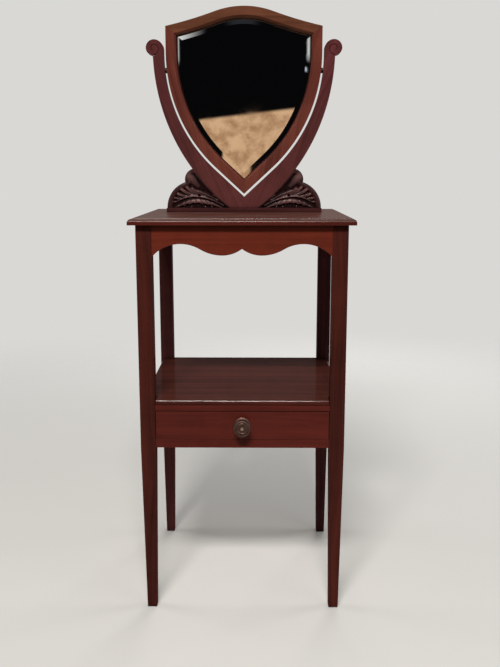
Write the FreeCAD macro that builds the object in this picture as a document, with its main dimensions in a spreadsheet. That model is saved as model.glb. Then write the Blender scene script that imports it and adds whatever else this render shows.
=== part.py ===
import FreeCAD, Part
import math
import os
from types import SimpleNamespace

import Sketcher
from FreeCAD import Placement, Rotation, Vector

# Washstand with a drawer, an open shelf and a shield mirror that tilts between two scrolled uprights.
# X runs to the right as seen from the front, Y to the back, Z up from the floor. Lengths are in mm.

DIMENSIONS = {
    # legs, over their outer faces
    "stand_width": 386,
    "stand_depth": 380,
    "leg_square": 28.5,
    "foot_square": 18.5,
    # top board and its moulded edge
    "table_height": 764,
    "top_thickness": 12,
    "top_edge_flat": 4.5,
    "top_quirk": 1,
    "top_quirk_width": 1.5,
    "top_overhang": 13,
    "top_back_overhang": 24,
    # rails under the top
    "rail_setback": 1,
    "rail_thickness": 18,
    "top_rail_height": 50,
    "apron_end_drop": 58,
    "apron_peak_drop": 34.4,
    "apron_peak_x": 112,
    "apron_lobe_drop": 55.3,
    "apron_lobe_x": 36,
    "apron_cusp_drop": 43.3,
    "block_length": 44,
    "block_side": 15,
    # joints between rails and legs
    "tenon_length": 14,
    "tenon_thickness": 8,
    "tenon_shoulder": 5,
    "joint_gap": 0.1,
    # shelf and drawer case
    "shelf_height": 425,
    "shelf_thickness": 10,
    "shelf_side_inset": 5,
    "shelf_back_inset": 10,
    "shelf_nosing": 4,
    "drawer_top_rail": 11,
    "drawer_opening": 55.5,
    "drawer_bottom_rail": 17,
    "drawer_rail_depth": 44,
    "panel_thickness": 16,
    "runner_width": 30,
    "runner_thickness": 12,
    "guide_height": 16,
    "stop_height": 5,
    "stop_length": 22,
    "stop_depth": 12,
    "stop_x": 90,
    # drawer
    "drawer_side_gap": 0.8,
    "drawer_run_gap": 0.3,
    "drawer_top_gap": 1.2,
    "drawer_stop_gap": 0.3,
    "drawer_back_gap": 16,
    "drawer_front_thickness": 17,
    "drawer_side_thickness": 9,
    "drawer_side_drop": 2,
    "drawer_bottom_thickness": 5,
    "drawer_bottom_rise": 9,
    "drawer_groove": 4,
    "tail_length": 12,
    "tail_tip_height": 12,
    "tail_root_height": 8,
    "tail_pitch": 16.5,
    "bottom_pin_diameter": 2.4,
    "bottom_pin_length": 16,
    "bottom_pin_x": 90,
    # knob
    "knob_diameter": 32,
    "knob_projection": 25,
    "knob_boss_diameter": 8.5,
    "knob_ring_diameter": 19,
    "knob_bead": 1.4,
    "knob_relief": 2.6,
    "knob_rim_round": 2.5,
    "knob_rim_depth": 5,
    "knob_neck_diameter": 12,
    "knob_neck_length": 7,
    "knob_neck_sweep": 12,
    "rose_diameter": 31,
    "rose_thickness": 2.6,
    "bolt_diameter": 6,
    "nut_diameter": 12,
    "nut_thickness": 5,
    "washer_diameter": 16,
    "washer_thickness": 1.4,
    # mirror support; heights are above the table
    "mirror_setback": 62,
    "plinth_width": 322,
    "plinth_depth": 32,
    "plinth_height": 9,
    "wing_width": 320,
    "wing_thickness": 24,
    "wing_cusp_x": 122,
    "wing_cusp_height": 61.5,
    "wing_lobe_radius": 55,
    "wing_notch_x": 105,
    "wing_notch_height": 89,
    "wing_curl_radius": 22.5,
    "yoke_gap": 4.5,
    "yoke_thickness": 20,
    "yoke_foot_x": 28.5,
    "yoke_outer_radius": 395,
    "scroll_height": 325,
    "scroll_radius": 14,
    "scroll_step": 2.5,
    "scroll_groove": 1.6,
    "yoke_screw_x": 14,
    "wing_screw_x": 100,
    "screw_diameter": 5,
    "screw_head": 9.5,
    "screw_depth": 16,
    # shield frame; heights are above the table
    "shield_width": 315.6,
    "shield_corner_height": 369.5,
    "shield_spring_height": 316.8,
    "shield_side_radius": 306,
    "shield_tip_height": 37.5,
    "crest_height": 407.5,
    "crest_radius": 178.5,
    "crest_sweep_radius": 830,
    "frame_width": 21.5,
    "frame_thickness": 20,
    "mitre_slope": 0.8,
    "frame_bevel_width": 4.5,
    "frame_bevel_depth": 5,
    "frame_lip": 11,
    "glass_rebate": 5.5,
    "glass_play": 0.5,
    "glass_thickness": 5,
    "glass_bevel_width": 16,
    "glass_bevel_depth": 2,
    "board_rebate": 11,
    "board_screw_inset": 13.5,
    "board_screw_diameter": 2.8,
    "board_screw_head": 5.4,
    "board_screw_length": 10,
    # pivots
    "pivot_height": 284.6,
    "pin_diameter": 6,
    "pin_depth": 12,
    "pin_collar_diameter": 11,
    "pin_collar_gap": 1,
    "pin_seat": 0.8,
    "bush_diameter": 10,
    "bush_length": 13,
    "running_gap": 0.05,
}

# Degrees from the top of the side arcs to the backboard's screws
SIDE_SCREW_ANGLES = (5, 36)
# Tolerance for telling edges apart by their place, in mm
NEAR = 1e-4

doc = FreeCAD.newDocument("washstand")


class Size:
    """A length that carries its number and the sheet expression that it comes from."""

    def __init__(self, number, text):
        self.number = number
        self.text = text

    @staticmethod
    def of(value):
        """Take a size as it is, and make one of a plain number."""
        if isinstance(value, Size):
            return value
        return Size(float(value), f"({float(value)})")

    def joined(self, sign, other, number):
        """The size made of this one and another with an arithmetic sign between them."""
        return Size(number, f"({self.text} {sign} {other.text})")

    def __add__(self, other):
        other = Size.of(other)
        return self.joined("+", other, self.number + other.number)

    def __sub__(self, other):
        other = Size.of(other)
        return self.joined("-", other, self.number - other.number)

    def __mul__(self, other):
        other = Size.of(other)
        return self.joined("*", other, self.number * other.number)

    def __truediv__(self, other):
        other = Size.of(other)
        return self.joined("/", other, self.number / other.number)

    def __radd__(self, other):
        return Size.of(other) + self

    def __rsub__(self, other):
        return Size.of(other) - self

    def __rmul__(self, other):
        return Size.of(other) * self

    def __neg__(self):
        return Size.of(0) - self

    def root(self):
        """The square root of this size."""
        return Size(math.sqrt(self.number), f"sqrt({self.text})")


def make_sheet():
    """Write the driving dimensions into a spreadsheet and hand them back as named sizes."""
    sheet = doc.addObject("Spreadsheet::Sheet", "dims")
    for row, (name, number) in enumerate(DIMENSIONS.items(), start=1):
        sheet.set(f"A{row}", name)
        sheet.set(f"B{row}", str(number))
        sheet.setAlias(f"B{row}", name)
    doc.recompute()
    return SimpleNamespace(**{name: Size(float(sheet.get(name)), f"dims.{name}") for name in DIMENSIONS})


dims = make_sheet()
nodes = {}


# Document helpers

def bind(item, name, size):
    """Drive a property of an object by a size."""
    item.setExpression(name, Size.of(size).text)


def place(item, x, y, z):
    """Drive an object's position."""
    for axis, size in zip("xyz", (x, y, z)):
        bind(item, f"Placement.Base.{axis}", size)
    return item


def keep(label, item):
    """Make an object a sub-part of the washstand under its own label."""
    item.Label = label
    nodes[label] = item
    return item


def box(name, low, high):
    """A box between its low and its high corner."""
    block = doc.addObject("Part::Box", name)
    for side, start, end in zip(("Length", "Width", "Height"), low, high):
        bind(block, side, Size.of(end) - start)
    return place(block, *low)


def fuse(name, items):
    """The solids of several objects joined into one."""
    joined = doc.addObject("Part::MultiFuse", name)
    joined.Shapes = items
    joined.Refine = True
    return joined


def cut(name, base, tools):
    """An object with other objects taken out of it."""
    result = doc.addObject("Part::Cut", name)
    result.Base = base
    result.Tool = tools[0] if len(tools) == 1 else fuse(f"{name}_tools", tools)
    return result


def common(name, base, tool):
    """What two objects share."""
    result = doc.addObject("Part::Common", name)
    result.Base = base
    result.Tool = tool
    return result


def group(name, items):
    """Several solids in one object."""
    compound = doc.addObject("Part::Compound", name)
    compound.Links = items
    return compound


def mirrored(name, item):
    """The left-hand twin of a right-hand object."""
    twin = doc.addObject("Part::Mirroring", name)
    twin.Source = item
    twin.Normal = Vector(1, 0, 0)
    return twin


def keep_pair(stem, right):
    """Keep a right-hand object and its left-hand twin; the stem has a gap for the side."""
    keep(stem.format("right"), right)
    keep(stem.format("left"), mirrored(stem.format("left"), right))


def origin_plane(body, role):
    """A body's own origin plane."""
    return next(item for item in body.Origin.OriginFeatures if item.Role == role)


def body_sketch(body, name, role):
    """A sketch on one of a body's origin planes."""
    sketch = body.newObject("Sketcher::SketchObject", name)
    sketch.AttachmentSupport = [(origin_plane(body, role), "")]
    sketch.MapMode = "FlatFace"
    return sketch


def upright_sketch(name, depth):
    """A free sketch on the upright plane at a depth, with its origin on the table top."""
    sketch = doc.addObject("Sketcher::SketchObject", name)
    sketch.Placement = Placement(Vector(0, 0, 0), Rotation(Vector(1, 0, 0), 90))
    return place(sketch, 0, depth, dims.table_height)


def drive(sketch, size, *constraint):
    """Add a constraint whose value follows a size."""
    size = Size.of(size)
    index = sketch.addConstraint(Sketcher.Constraint(*constraint, size.number))
    sketch.setExpression(f"Constraints[{index}]", size.text)


def pin_down(sketch, geometry, end, x, y):
    """Hold one end of a sketch line or arc at a place measured from the sketch's origin."""
    for name, axis, size in (("DistanceX", -2, x), ("DistanceY", -1, y)):
        if Size.of(size).number == 0:
            sketch.addConstraint(Sketcher.Constraint("PointOnObject", geometry, end, axis))
        else:
            drive(sketch, size, name, -1, 1, geometry, end)


def arc_between(first, last, bend):
    """The short arc between two points, with its centre left of the way from first to last if bend > 0."""
    half = (last - first) * 0.5
    left = Vector(-half.y, half.x, 0).normalize()
    reach = math.sqrt(max(bend * bend - half.Length ** 2, 0))
    centre = first + half + left * math.copysign(reach, bend)
    begin, finish = (first, last) if bend > 0 else (last, first)
    start = math.atan2(begin.y - centre.y, begin.x - centre.x)
    stop = math.atan2(finish.y - centre.y, finish.x - centre.x)
    if stop < start:
        stop += 2 * math.pi
    return Part.ArcOfCircle(Part.Circle(centre, Vector(0, 0, 1), abs(bend)), start, stop)


def trace(sketch, corners, closed=True):
    """Draw an outline through corners (x, y) or (x, y, radius of the arc to the next corner).

    A positive radius has the arc's centre to the left of the way round, a negative one to the right.
    """
    points = [Vector(Size.of(corner[0]).number, Size.of(corner[1]).number, 0) for corner in corners]
    steps = len(corners) if closed else len(corners) - 1
    ends = []
    for index in range(steps):
        first = points[index]
        last = points[(index + 1) % len(points)]
        if len(corners[index]) == 2:
            line = sketch.addGeometry(Part.LineSegment(first, last))
            ends.append((line, 1, 2))
            continue
        bend = Size.of(corners[index][2])
        arc = sketch.addGeometry(arc_between(first, last, bend.number))
        ends.append((arc, 1, 2) if bend.number > 0 else (arc, 2, 1))
        drive(sketch, bend if bend.number > 0 else -bend, "Radius", arc)
    for index, (geometry, start, _) in enumerate(ends):
        pin_down(sketch, geometry, start, *corners[index][:2])
    for index in range(steps if closed else steps - 1):
        here = ends[index]
        after = ends[(index + 1) % steps]
        sketch.addConstraint(Sketcher.Constraint("Coincident", here[0], here[2], after[0], after[1]))
    if not closed:
        pin_down(sketch, ends[-1][0], ends[-1][2], *corners[-1][:2])
    return sketch


def pad(body, sketch, length, name):
    """Pad a body's sketch by a size."""
    feature = body.newObject("PartDesign::Pad", name)
    feature.Profile = sketch
    bind(feature, "Length", length)
    return feature


def slab(name, sketch, thickness):
    """A free sketch or wire thickened evenly to both sides of its plane."""
    solid = doc.addObject("Part::Extrusion", name)
    solid.Base = sketch
    solid.DirMode = "Normal"
    solid.Solid = True
    solid.Symmetric = True
    bind(solid, "LengthFwd", thickness)
    return solid


def turned(name, axis, profile, x, y, z):
    """A turned body on an axis through a place; the profile holds (along the axis, radius[, arc]) corners."""
    body = doc.addObject("PartDesign::Body", name)
    sketch = body_sketch(body, f"{name}_profile", "XZ_Plane" if axis == "Z" else "XY_Plane")
    if axis == "X":
        trace(sketch, profile)
    else:
        trace(sketch, [(corner[1], corner[0], *corner[2:]) for corner in profile])
    spin = body.newObject("PartDesign::Revolution", f"{name}_turning")
    spin.Profile = sketch
    spin.ReferenceAxis = (sketch, ["H_Axis" if axis == "X" else "V_Axis"])
    spin.Angle = 360
    return place(body, x, y, z)


# Places that several pieces share

half_width = dims.stand_width / 2
half_depth = dims.stand_depth / 2
half_opening = half_width - dims.leg_square
half_between = half_depth - dims.leg_square
under_top = dims.table_height - dims.top_thickness
front_face = dims.rail_setback - half_depth
back_face = half_depth - dims.rail_setback
side_face = half_width - dims.rail_setback
under_shelf = dims.shelf_height - dims.shelf_thickness
opening_top = under_shelf - dims.drawer_top_rail
opening_bottom = opening_top - dims.drawer_opening
case_bottom = opening_bottom - dims.drawer_bottom_rail
case_side = side_face - dims.panel_thickness
mortises = {"front": [], "back": []}


# Rails with tenons, and the mortises that take them

def tenon_core(low, high, axis):
    """The low and high corners of a board's tenons, run right through the board along an axis (0 or 1)."""
    across = 1 - axis
    waste = (high[across] - low[across] - dims.tenon_thickness) / 2
    start = list(low)
    stop = list(high)
    start[axis] = low[axis] - dims.tenon_length
    stop[axis] = high[axis] + dims.tenon_length
    start[across] = low[across] + waste
    stop[across] = high[across] - waste
    start[2] = low[2] + dims.tenon_shoulder
    stop[2] = high[2] - dims.tenon_shoulder
    return start, stop


def cut_mortise(name, leg, core, axis, far_end):
    """Keep a mortise for one end of a tenon core, a joint gap larger, for one of the right-hand legs."""
    start = [size - dims.joint_gap for size in core[0]]
    stop = [size + dims.joint_gap for size in core[1]]
    if far_end:
        start[axis] = core[1][axis] - dims.tenon_length
    else:
        stop[axis] = core[0][axis] + dims.tenon_length
    mortises[leg].append(box(f"{name}_{leg}_mortise", start, stop))


def cross_rail(name, leg, low, high, board=None):
    """A board between the right and left legs of the front or back, with a tenon at each end."""
    core = tenon_core(low, high, 0)
    cut_mortise(name, leg, core, 0, True)
    board = board or box(f"{name}_board", low, high)
    return keep(name, fuse(name, [board, box(f"{name}_tenons", *core)]))


def side_rail(stem, low, high):
    """A board between the front and back legs of each side, with a tenon at each end."""
    name = stem.format("right")
    core = tenon_core(low, high, 1)
    cut_mortise(name, "front", core, 1, False)
    cut_mortise(name, "back", core, 1, True)
    board = fuse(name, [box(f"{name}_board", low, high), box(f"{name}_tenons", *core)])
    keep_pair(stem, board)


def apron_board():
    """The front apron's board: an arch at each end and a cusp between two lobes in the middle."""
    end_height = under_top - dims.apron_end_drop
    lobe_height = under_top - dims.apron_lobe_drop
    cusp_height = under_top - dims.apron_cusp_drop
    end_rise = dims.apron_end_drop - dims.apron_peak_drop
    end_run = half_opening - dims.apron_peak_x
    arch_radius = (end_run * end_run + end_rise * end_rise) / (end_rise * 2)
    sway_rise = dims.apron_lobe_drop - dims.apron_peak_drop
    sway_run = dims.apron_peak_x - dims.apron_lobe_x
    sway_radii = (sway_run * sway_run + sway_rise * sway_rise) / (sway_rise * 2)
    lobe_radius = sway_radii - arch_radius
    turn_x = dims.apron_peak_x - sway_run * arch_radius / sway_radii
    turn_height = under_top - dims.apron_peak_drop - sway_rise * arch_radius / sway_radii
    cusp_rise = dims.apron_lobe_drop - dims.apron_cusp_drop
    cusp_radius = (dims.apron_lobe_x * dims.apron_lobe_x + cusp_rise * cusp_rise) / (cusp_rise * 2)
    body = doc.addObject("PartDesign::Body", "apron_board")
    sketch = body_sketch(body, "apron_outline", "XZ_Plane")
    trace(sketch, [
        (half_opening, under_top),
        (-half_opening, under_top),
        (-half_opening, end_height, -arch_radius),
        (-turn_x, turn_height, lobe_radius),
        (-dims.apron_lobe_x, lobe_height, cusp_radius),
        (0, cusp_height, cusp_radius),
        (dims.apron_lobe_x, lobe_height, lobe_radius),
        (turn_x, turn_height, -arch_radius),
        (half_opening, end_height),
    ])
    pad(body, sketch, dims.rail_thickness, "apron_pad")
    return place(body, 0, front_face + dims.rail_thickness, 0)


def make_rails():
    """The rails under the top and the rails and panels of the drawer case."""
    rail_low = under_top - dims.top_rail_height
    apron_low = under_top - dims.apron_peak_drop
    cross_rail("front_apron", "front", (-half_opening, front_face, apron_low),
               (half_opening, front_face + dims.rail_thickness, under_top), apron_board())
    cross_rail("back_top_rail", "back", (-half_opening, back_face - dims.rail_thickness, rail_low),
               (half_opening, back_face, under_top))
    side_rail("{}_top_rail", (side_face - dims.rail_thickness, -half_between, rail_low),
              (side_face, half_between, under_top))
    side_rail("{}_side_panel", (case_side, -half_between, case_bottom),
              (side_face, half_between, under_shelf))
    cross_rail("back_panel", "back", (-half_opening, back_face - dims.panel_thickness, case_bottom),
               (half_opening, back_face, under_shelf))


def drawer_rail(name, low, high):
    """A flat rail over or under the drawer, with a tenon of the rail's full height at each end."""
    tenon_front = front_face + dims.tenon_shoulder
    tenon_end = half_opening + dims.tenon_length
    core_low = (-tenon_end, tenon_front, low)
    core_high = (tenon_end, tenon_front + dims.tenon_thickness, high)
    board = box(f"{name}_board", (-half_opening, front_face, low),
                (half_opening, front_face + dims.drawer_rail_depth, high))
    cut_mortise(name, "front", (core_low, core_high), 0, True)
    keep(name, fuse(name, [board, box(f"{name}_tenons", core_low, core_high)]))


def make_legs():
    """Four legs: square above the case's lower edge, tapered on every face below it."""
    foot = dims.foot_square / 2
    knee = dims.leg_square / 2
    for end, way in (("front", -1), ("back", 1)):
        name = f"{end}_right_leg"
        body = doc.addObject("PartDesign::Body", f"{name}_blank")
        taper = body.newObject("PartDesign::AdditiveWedge", f"{name}_taper")
        taper.Placement = Placement(Vector(0, 0, 0), Rotation(Vector(1, 0, 0), 90))
        for across in "XZ":
            bind(taper, f"{across}min", -foot)
            bind(taper, f"{across}max", foot)
            bind(taper, f"{across}2min", -knee)
            bind(taper, f"{across}2max", knee)
        bind(taper, "Ymin", 0)
        bind(taper, "Ymax", case_bottom)
        square = body_sketch(body, f"{name}_square", "XY_Plane")
        bind(square, "AttachmentOffset.Base.z", case_bottom)
        trace(square, [(knee, knee), (-knee, knee), (-knee, -knee), (knee, -knee)])
        pad(body, square, under_top - case_bottom, f"{name}_post")
        place(body, half_width - knee, way * (half_depth - knee), 0)
        keep_pair(f"{end}_{{}}_leg", cut(name, body, mortises[end]))


# Top board, shelf and drawer case

def upper_edges(shape):
    """Names and middles of the edges round the upper face of a board."""
    named = [(f"Edge{index}", edge.CenterOfMass) for index, edge in enumerate(shape.Edges, start=1)]
    return [(name, middle) for name, middle in named if middle.z > shape.BoundBox.ZMax - NEAR]


def screw_places():
    """Where the screws come up through the top: (x, piece that they hold)."""
    return ((dims.yoke_screw_x, "upright"), (dims.wing_screw_x, "wing"))


def make_top():
    """The top board, with a quirk and a quarter round on the front and the ends, and its screw holes."""
    reach_x = half_width + dims.top_overhang
    front = -half_depth - dims.top_overhang
    back = half_depth + dims.top_back_overhang
    lower = dims.top_thickness - dims.top_quirk
    round_over = lower - dims.top_edge_flat
    inset = round_over + dims.top_quirk_width
    body = doc.addObject("PartDesign::Body", "top_blank")
    board = body_sketch(body, "top_outline", "XY_Plane")
    trace(board, [(reach_x, front), (reach_x, back), (-reach_x, back), (-reach_x, front)])
    base = pad(body, board, lower, "top_lower")
    doc.recompute()
    edge = body.newObject("PartDesign::Fillet", "top_round")
    square_back = base.Shape.BoundBox.YMax - NEAR
    edge.Base = (base, [name for name, middle in upper_edges(base.Shape) if middle.y < square_back])
    bind(edge, "Radius", round_over)
    doc.recompute()
    field = body_sketch(body, "top_field", "XY_Plane")
    bind(field, "AttachmentOffset.Base.z", lower)
    trace(field, [
        (reach_x - inset, front + inset),
        (reach_x - inset, back),
        (inset - reach_x, back),
        (inset - reach_x, front + inset),
    ])
    pad(body, field, dims.top_quirk, "top_upper")
    place(body, 0, 0, under_top)
    keep("top_board", cut("top_board", body, screw_holes("top", ("upright", "wing"))))


def make_blocks():
    """Glue blocks in the corner between the top and its rails."""
    rail_inner = side_face - dims.rail_thickness
    blocks = []
    for index, y in enumerate((-half_between / 2, Size.of(0), half_between / 2)):
        low_y = y - dims.block_length / 2
        low = (rail_inner - dims.block_side, low_y, under_top - dims.block_side)
        right = box(f"right_block_{index}", low, (rail_inner, low_y + dims.block_length, under_top))
        blocks += [right, mirrored(f"left_block_{index}", right)]
    keep("top_glue_blocks", group("top_glue_blocks", blocks))


def make_shelf():
    """The shelf on the drawer case, with a rounded front edge and notches for the legs."""
    reach_x = half_width - dims.shelf_side_inset
    back = half_depth - dims.shelf_back_inset
    notch_x = half_opening - dims.joint_gap
    notch_y = half_between - dims.joint_gap
    body = doc.addObject("PartDesign::Body", "shelf_board")
    sketch = body_sketch(body, "shelf_outline", "XY_Plane")
    half_outline = [
        (notch_x, front_face),
        (notch_x, -notch_y),
        (reach_x, -notch_y),
        (reach_x, notch_y),
        (notch_x, notch_y),
        (notch_x, back),
    ]
    trace(sketch, half_outline + [(-x, y) for x, y in reversed(half_outline)])
    board = pad(body, sketch, dims.shelf_thickness, "shelf_pad")
    doc.recompute()
    nose = [name for name, middle in upper_edges(board.Shape) if middle.y < board.Shape.BoundBox.YMin + NEAR]
    rounding = body.newObject("PartDesign::Fillet", "shelf_round")
    rounding.Base = (board, nose)
    bind(rounding, "Radius", dims.shelf_nosing)
    keep("shelf_board", place(body, 0, 0, under_shelf))


def make_case_fittings():
    """Runners, guides and kickers at the sides of the drawer, and the stops behind its front."""
    rail_back = front_face + dims.drawer_rail_depth
    inner = case_side - dims.runner_width
    runner = box("right_runner", (inner, rail_back, opening_bottom - dims.runner_thickness),
                 (case_side, half_between, opening_bottom))
    keep_pair("{}_drawer_runner", runner)
    guide = box("right_guide", (half_opening, -half_between, opening_bottom),
                (case_side, half_between, opening_bottom + dims.guide_height))
    keep_pair("{}_drawer_guide", guide)
    kicker = box("right_kicker", (inner, rail_back, opening_top), (case_side, half_between, under_shelf))
    keep_pair("{}_drawer_kicker", kicker)
    stop_front = front_face + dims.drawer_front_thickness + dims.drawer_stop_gap
    stop_low_x = dims.stop_x - dims.stop_length / 2
    stop_top = opening_bottom + dims.stop_height
    stop_high = (stop_low_x + dims.stop_length, stop_front + dims.stop_depth, stop_top)
    stop = box("right_stop", (stop_low_x, stop_front, opening_bottom), stop_high)
    keep("drawer_stops", group("drawer_stops", [stop, mirrored("left_stop", stop)]))


# Drawer

drawer_half = half_opening - dims.drawer_side_gap
drawer_bottom_z = opening_bottom + dims.drawer_run_gap
drawer_top_z = opening_top - dims.drawer_top_gap
drawer_front_back = front_face + dims.drawer_front_thickness
drawer_end = back_face - dims.panel_thickness - dims.drawer_back_gap
drawer_side_inner = drawer_half - dims.drawer_side_thickness
board_low = drawer_bottom_z + dims.drawer_bottom_rise
board_high = board_low + dims.drawer_bottom_thickness
knob_z = (drawer_bottom_z + drawer_top_z) / 2


def tail(name, middle, play):
    """One dovetail of the right drawer side, larger all round by a play."""
    wedge = doc.addObject("Part::Wedge", name)
    tip = dims.tail_tip_height / 2 + play
    root = dims.tail_root_height / 2 + play
    for prop, size in (
        ("Xmin", drawer_side_inner - play), ("X2min", drawer_side_inner - play),
        ("Xmax", drawer_half + play), ("X2max", drawer_half + play),
        ("Ymin", drawer_front_back - dims.tail_length - play), ("Ymax", drawer_front_back),
        ("Zmin", middle - tip), ("Zmax", middle + tip),
        ("Z2min", middle - root), ("Z2max", middle + root),
    ):
        bind(wedge, prop, size)
    return wedge


def tails(name, play):
    """The row of dovetails that joins a drawer side to the front."""
    return [tail(f"{name}_{step + 1}", knob_z + dims.tail_pitch * step, play) for step in (-1, 0, 1)]


def drawer_board(name, play):
    """The drawer bottom, larger all round by a play for its grooves."""
    reach = drawer_side_inner + dims.drawer_groove - dims.joint_gap
    return box(name, (-reach - play, drawer_front_back - dims.drawer_groove - play, board_low - play),
               (reach + play, drawer_end + play, board_high + play))


def drawer_back_box(name, play):
    """The drawer back above the bottom, housed in the sides, larger all round by a play."""
    reach = drawer_side_inner + dims.drawer_groove - dims.joint_gap
    front = drawer_end - dims.drawer_side_thickness * 2
    back = front + dims.drawer_side_thickness
    low = (-reach - play, front - play, board_high + dims.joint_gap)
    return box(name, low, (reach + play, back + play, drawer_top_z - dims.drawer_side_drop))


def make_drawer():
    """The drawer's five boards: dovetailed front, grooved sides, housed back and a sliding bottom."""
    front = box("front_blank", (-drawer_half, front_face, drawer_bottom_z),
                (drawer_half, drawer_front_back, drawer_top_z))
    sockets = tails("socket", dims.joint_gap)
    bolt_hole = doc.addObject("Part::Cylinder", "bolt_hole")
    bind(bolt_hole, "Radius", dims.bolt_diameter / 2 + dims.joint_gap)
    bind(bolt_hole, "Height", dims.drawer_front_thickness * 2)
    bolt_hole.Placement = Placement(Vector(0, 0, 0), Rotation(Vector(1, 0, 0), -90))
    place(bolt_hole, 0, front_face - dims.drawer_front_thickness / 2, knob_z)
    left_sockets = [mirrored(f"left_{socket.Name}", socket) for socket in sockets]
    groove = drawer_board("front_groove", dims.joint_gap)
    keep("drawer_front", cut("drawer_front", front, sockets + left_sockets + [groove, bolt_hole]))
    blank = box("side_blank", (drawer_side_inner, drawer_front_back, drawer_bottom_z),
                (drawer_half, drawer_end, drawer_top_z - dims.drawer_side_drop))
    side = fuse("side_tailed", [blank] + tails("tail", Size.of(0)))
    grooves = [drawer_board("side_groove", dims.joint_gap), drawer_back_box("side_housing", dims.joint_gap)]
    keep_pair("drawer_{}_side", cut("right_drawer_side", side, grooves))
    pins = [bottom_pin(f"bottom_pin_{way + 1}", dims.bottom_pin_x * way, Size.of(0)) for way in (-1, 0, 1)]
    holes = [bottom_pin(f"pin_hole_{way + 1}", dims.bottom_pin_x * way, dims.joint_gap) for way in (-1, 0, 1)]
    keep("drawer_back", cut("drawer_back", drawer_back_box("back_blank", Size.of(0)), holes))
    keep("drawer_bottom", cut("drawer_bottom", drawer_board("bottom_blank", Size.of(0)), holes))
    keep("drawer_bottom_pins", group("drawer_bottom_pins", pins))


def bottom_pin(name, x, play):
    """A pin up through the drawer bottom into the back, larger all round by a play."""
    pin = doc.addObject("Part::Cylinder", name)
    bind(pin, "Radius", dims.bottom_pin_diameter / 2 + play)
    bind(pin, "Height", dims.bottom_pin_length + play)
    return place(pin, x, drawer_end - dims.drawer_side_thickness * 1.5, board_low)


def make_knob():
    """The turned knob with its bolt, the rose behind it and the nut and washer inside the drawer."""
    rim = dims.knob_diameter / 2
    boss = dims.knob_boss_diameter / 2
    ring = dims.knob_ring_diameter / 2
    neck = dims.knob_neck_diameter / 2
    bolt = dims.bolt_diameter / 2
    face = -dims.knob_projection
    dish = face + dims.knob_relief
    soft = dims.knob_rim_round
    lip = soft / 3
    rim_back = face + dims.knob_rim_depth
    bolt_end = dims.drawer_front_thickness + dims.washer_thickness + dims.nut_thickness
    profile = [
        (bolt_end, 0),
        (face, 0),
        (face, boss - lip),
        (face + lip, boss),
        (dish, boss),
        (dish, ring - dims.knob_bead, dims.knob_bead * 1.2),
        (dish, ring + dims.knob_bead),
        (dish, rim - soft - lip),
        (face + lip, rim - soft, soft),
        (face + lip + soft, rim),
        (rim_back, rim),
        (rim_back + soft, rim - soft),
        (-dims.rose_thickness - dims.knob_neck_length, neck, -dims.knob_neck_sweep),
        (-dims.rose_thickness, neck + soft),
        (-dims.rose_thickness, bolt),
        (bolt_end, bolt),
    ]
    keep("knob", turned("knob", "Y", profile, 0, front_face, knob_z))
    edge = dims.rose_diameter / 2
    bore = bolt + dims.joint_gap
    rose = [
        (0, bore),
        (0, edge),
        (-dims.rose_thickness / 2, edge),
        (-dims.rose_thickness, edge - dims.rose_thickness),
        (-dims.rose_thickness, bore),
    ]
    keep("knob_rose", turned("knob_rose", "Y", rose, 0, front_face, knob_z))
    washer = dims.washer_diameter / 2
    nut = dims.nut_diameter / 2
    stack = [
        (0, bore),
        (0, washer),
        (dims.washer_thickness, washer),
        (dims.washer_thickness, nut),
        (dims.washer_thickness + dims.nut_thickness, nut),
        (dims.washer_thickness + dims.nut_thickness, bore),
    ]
    keep("knob_nut", turned("knob_nut", "Y", stack, 0, drawer_front_back, knob_z))


# Mirror support

yoke_inner = dims.shield_width / 2 + dims.yoke_gap
pivot_z = dims.table_height + dims.pivot_height
plinth_top = dims.table_height + dims.plinth_height
support_front = dims.mirror_setback - dims.plinth_depth / 2


def side_x(offset):
    """How far from the middle the shield's side lies at the pivots' height, set out by an offset."""
    radius = dims.shield_side_radius + offset
    drop = dims.shield_spring_height - dims.pivot_height
    return dims.shield_width / 2 - dims.shield_side_radius + (radius * radius - drop * drop).root()


def screw_profile(play):
    """A countersunk screw that rises from the underside of the top, larger all round by a play."""
    shank = dims.screw_diameter / 2 + play
    head = dims.screw_head / 2 + play
    tip = dims.top_thickness + dims.plinth_height + dims.screw_depth + play
    return [
        (0, 0),
        (0, head),
        (head - shank, shank),
        (tip, shank),
        (tip, 0),
    ]


def screw_holes(name, held):
    """Holes for the screws that hold the named pieces, on both sides."""
    holes = []
    for x, piece in screw_places():
        if piece not in held:
            continue
        for way in (-1, 1):
            hole = turned(f"{name}_{piece}_hole_{way + 1}", "Z", screw_profile(dims.joint_gap), x * way,
                          dims.mirror_setback, under_top)
            holes.append(hole)
    return holes


def scroll_centres():
    """Corners of the volute's quarter arcs, from its lower end round to its inner edge."""
    small = dims.scroll_radius
    middle = small + dims.scroll_step
    large = middle + dims.scroll_step
    top_x = yoke_inner + large
    side_height = dims.scroll_height + dims.scroll_step
    low_x = top_x + middle - small
    return [
        (low_x, side_height - small, small),
        (top_x + middle, side_height, middle),
        (top_x, dims.scroll_height + large, large),
        (yoke_inner, dims.scroll_height),
    ]


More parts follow.
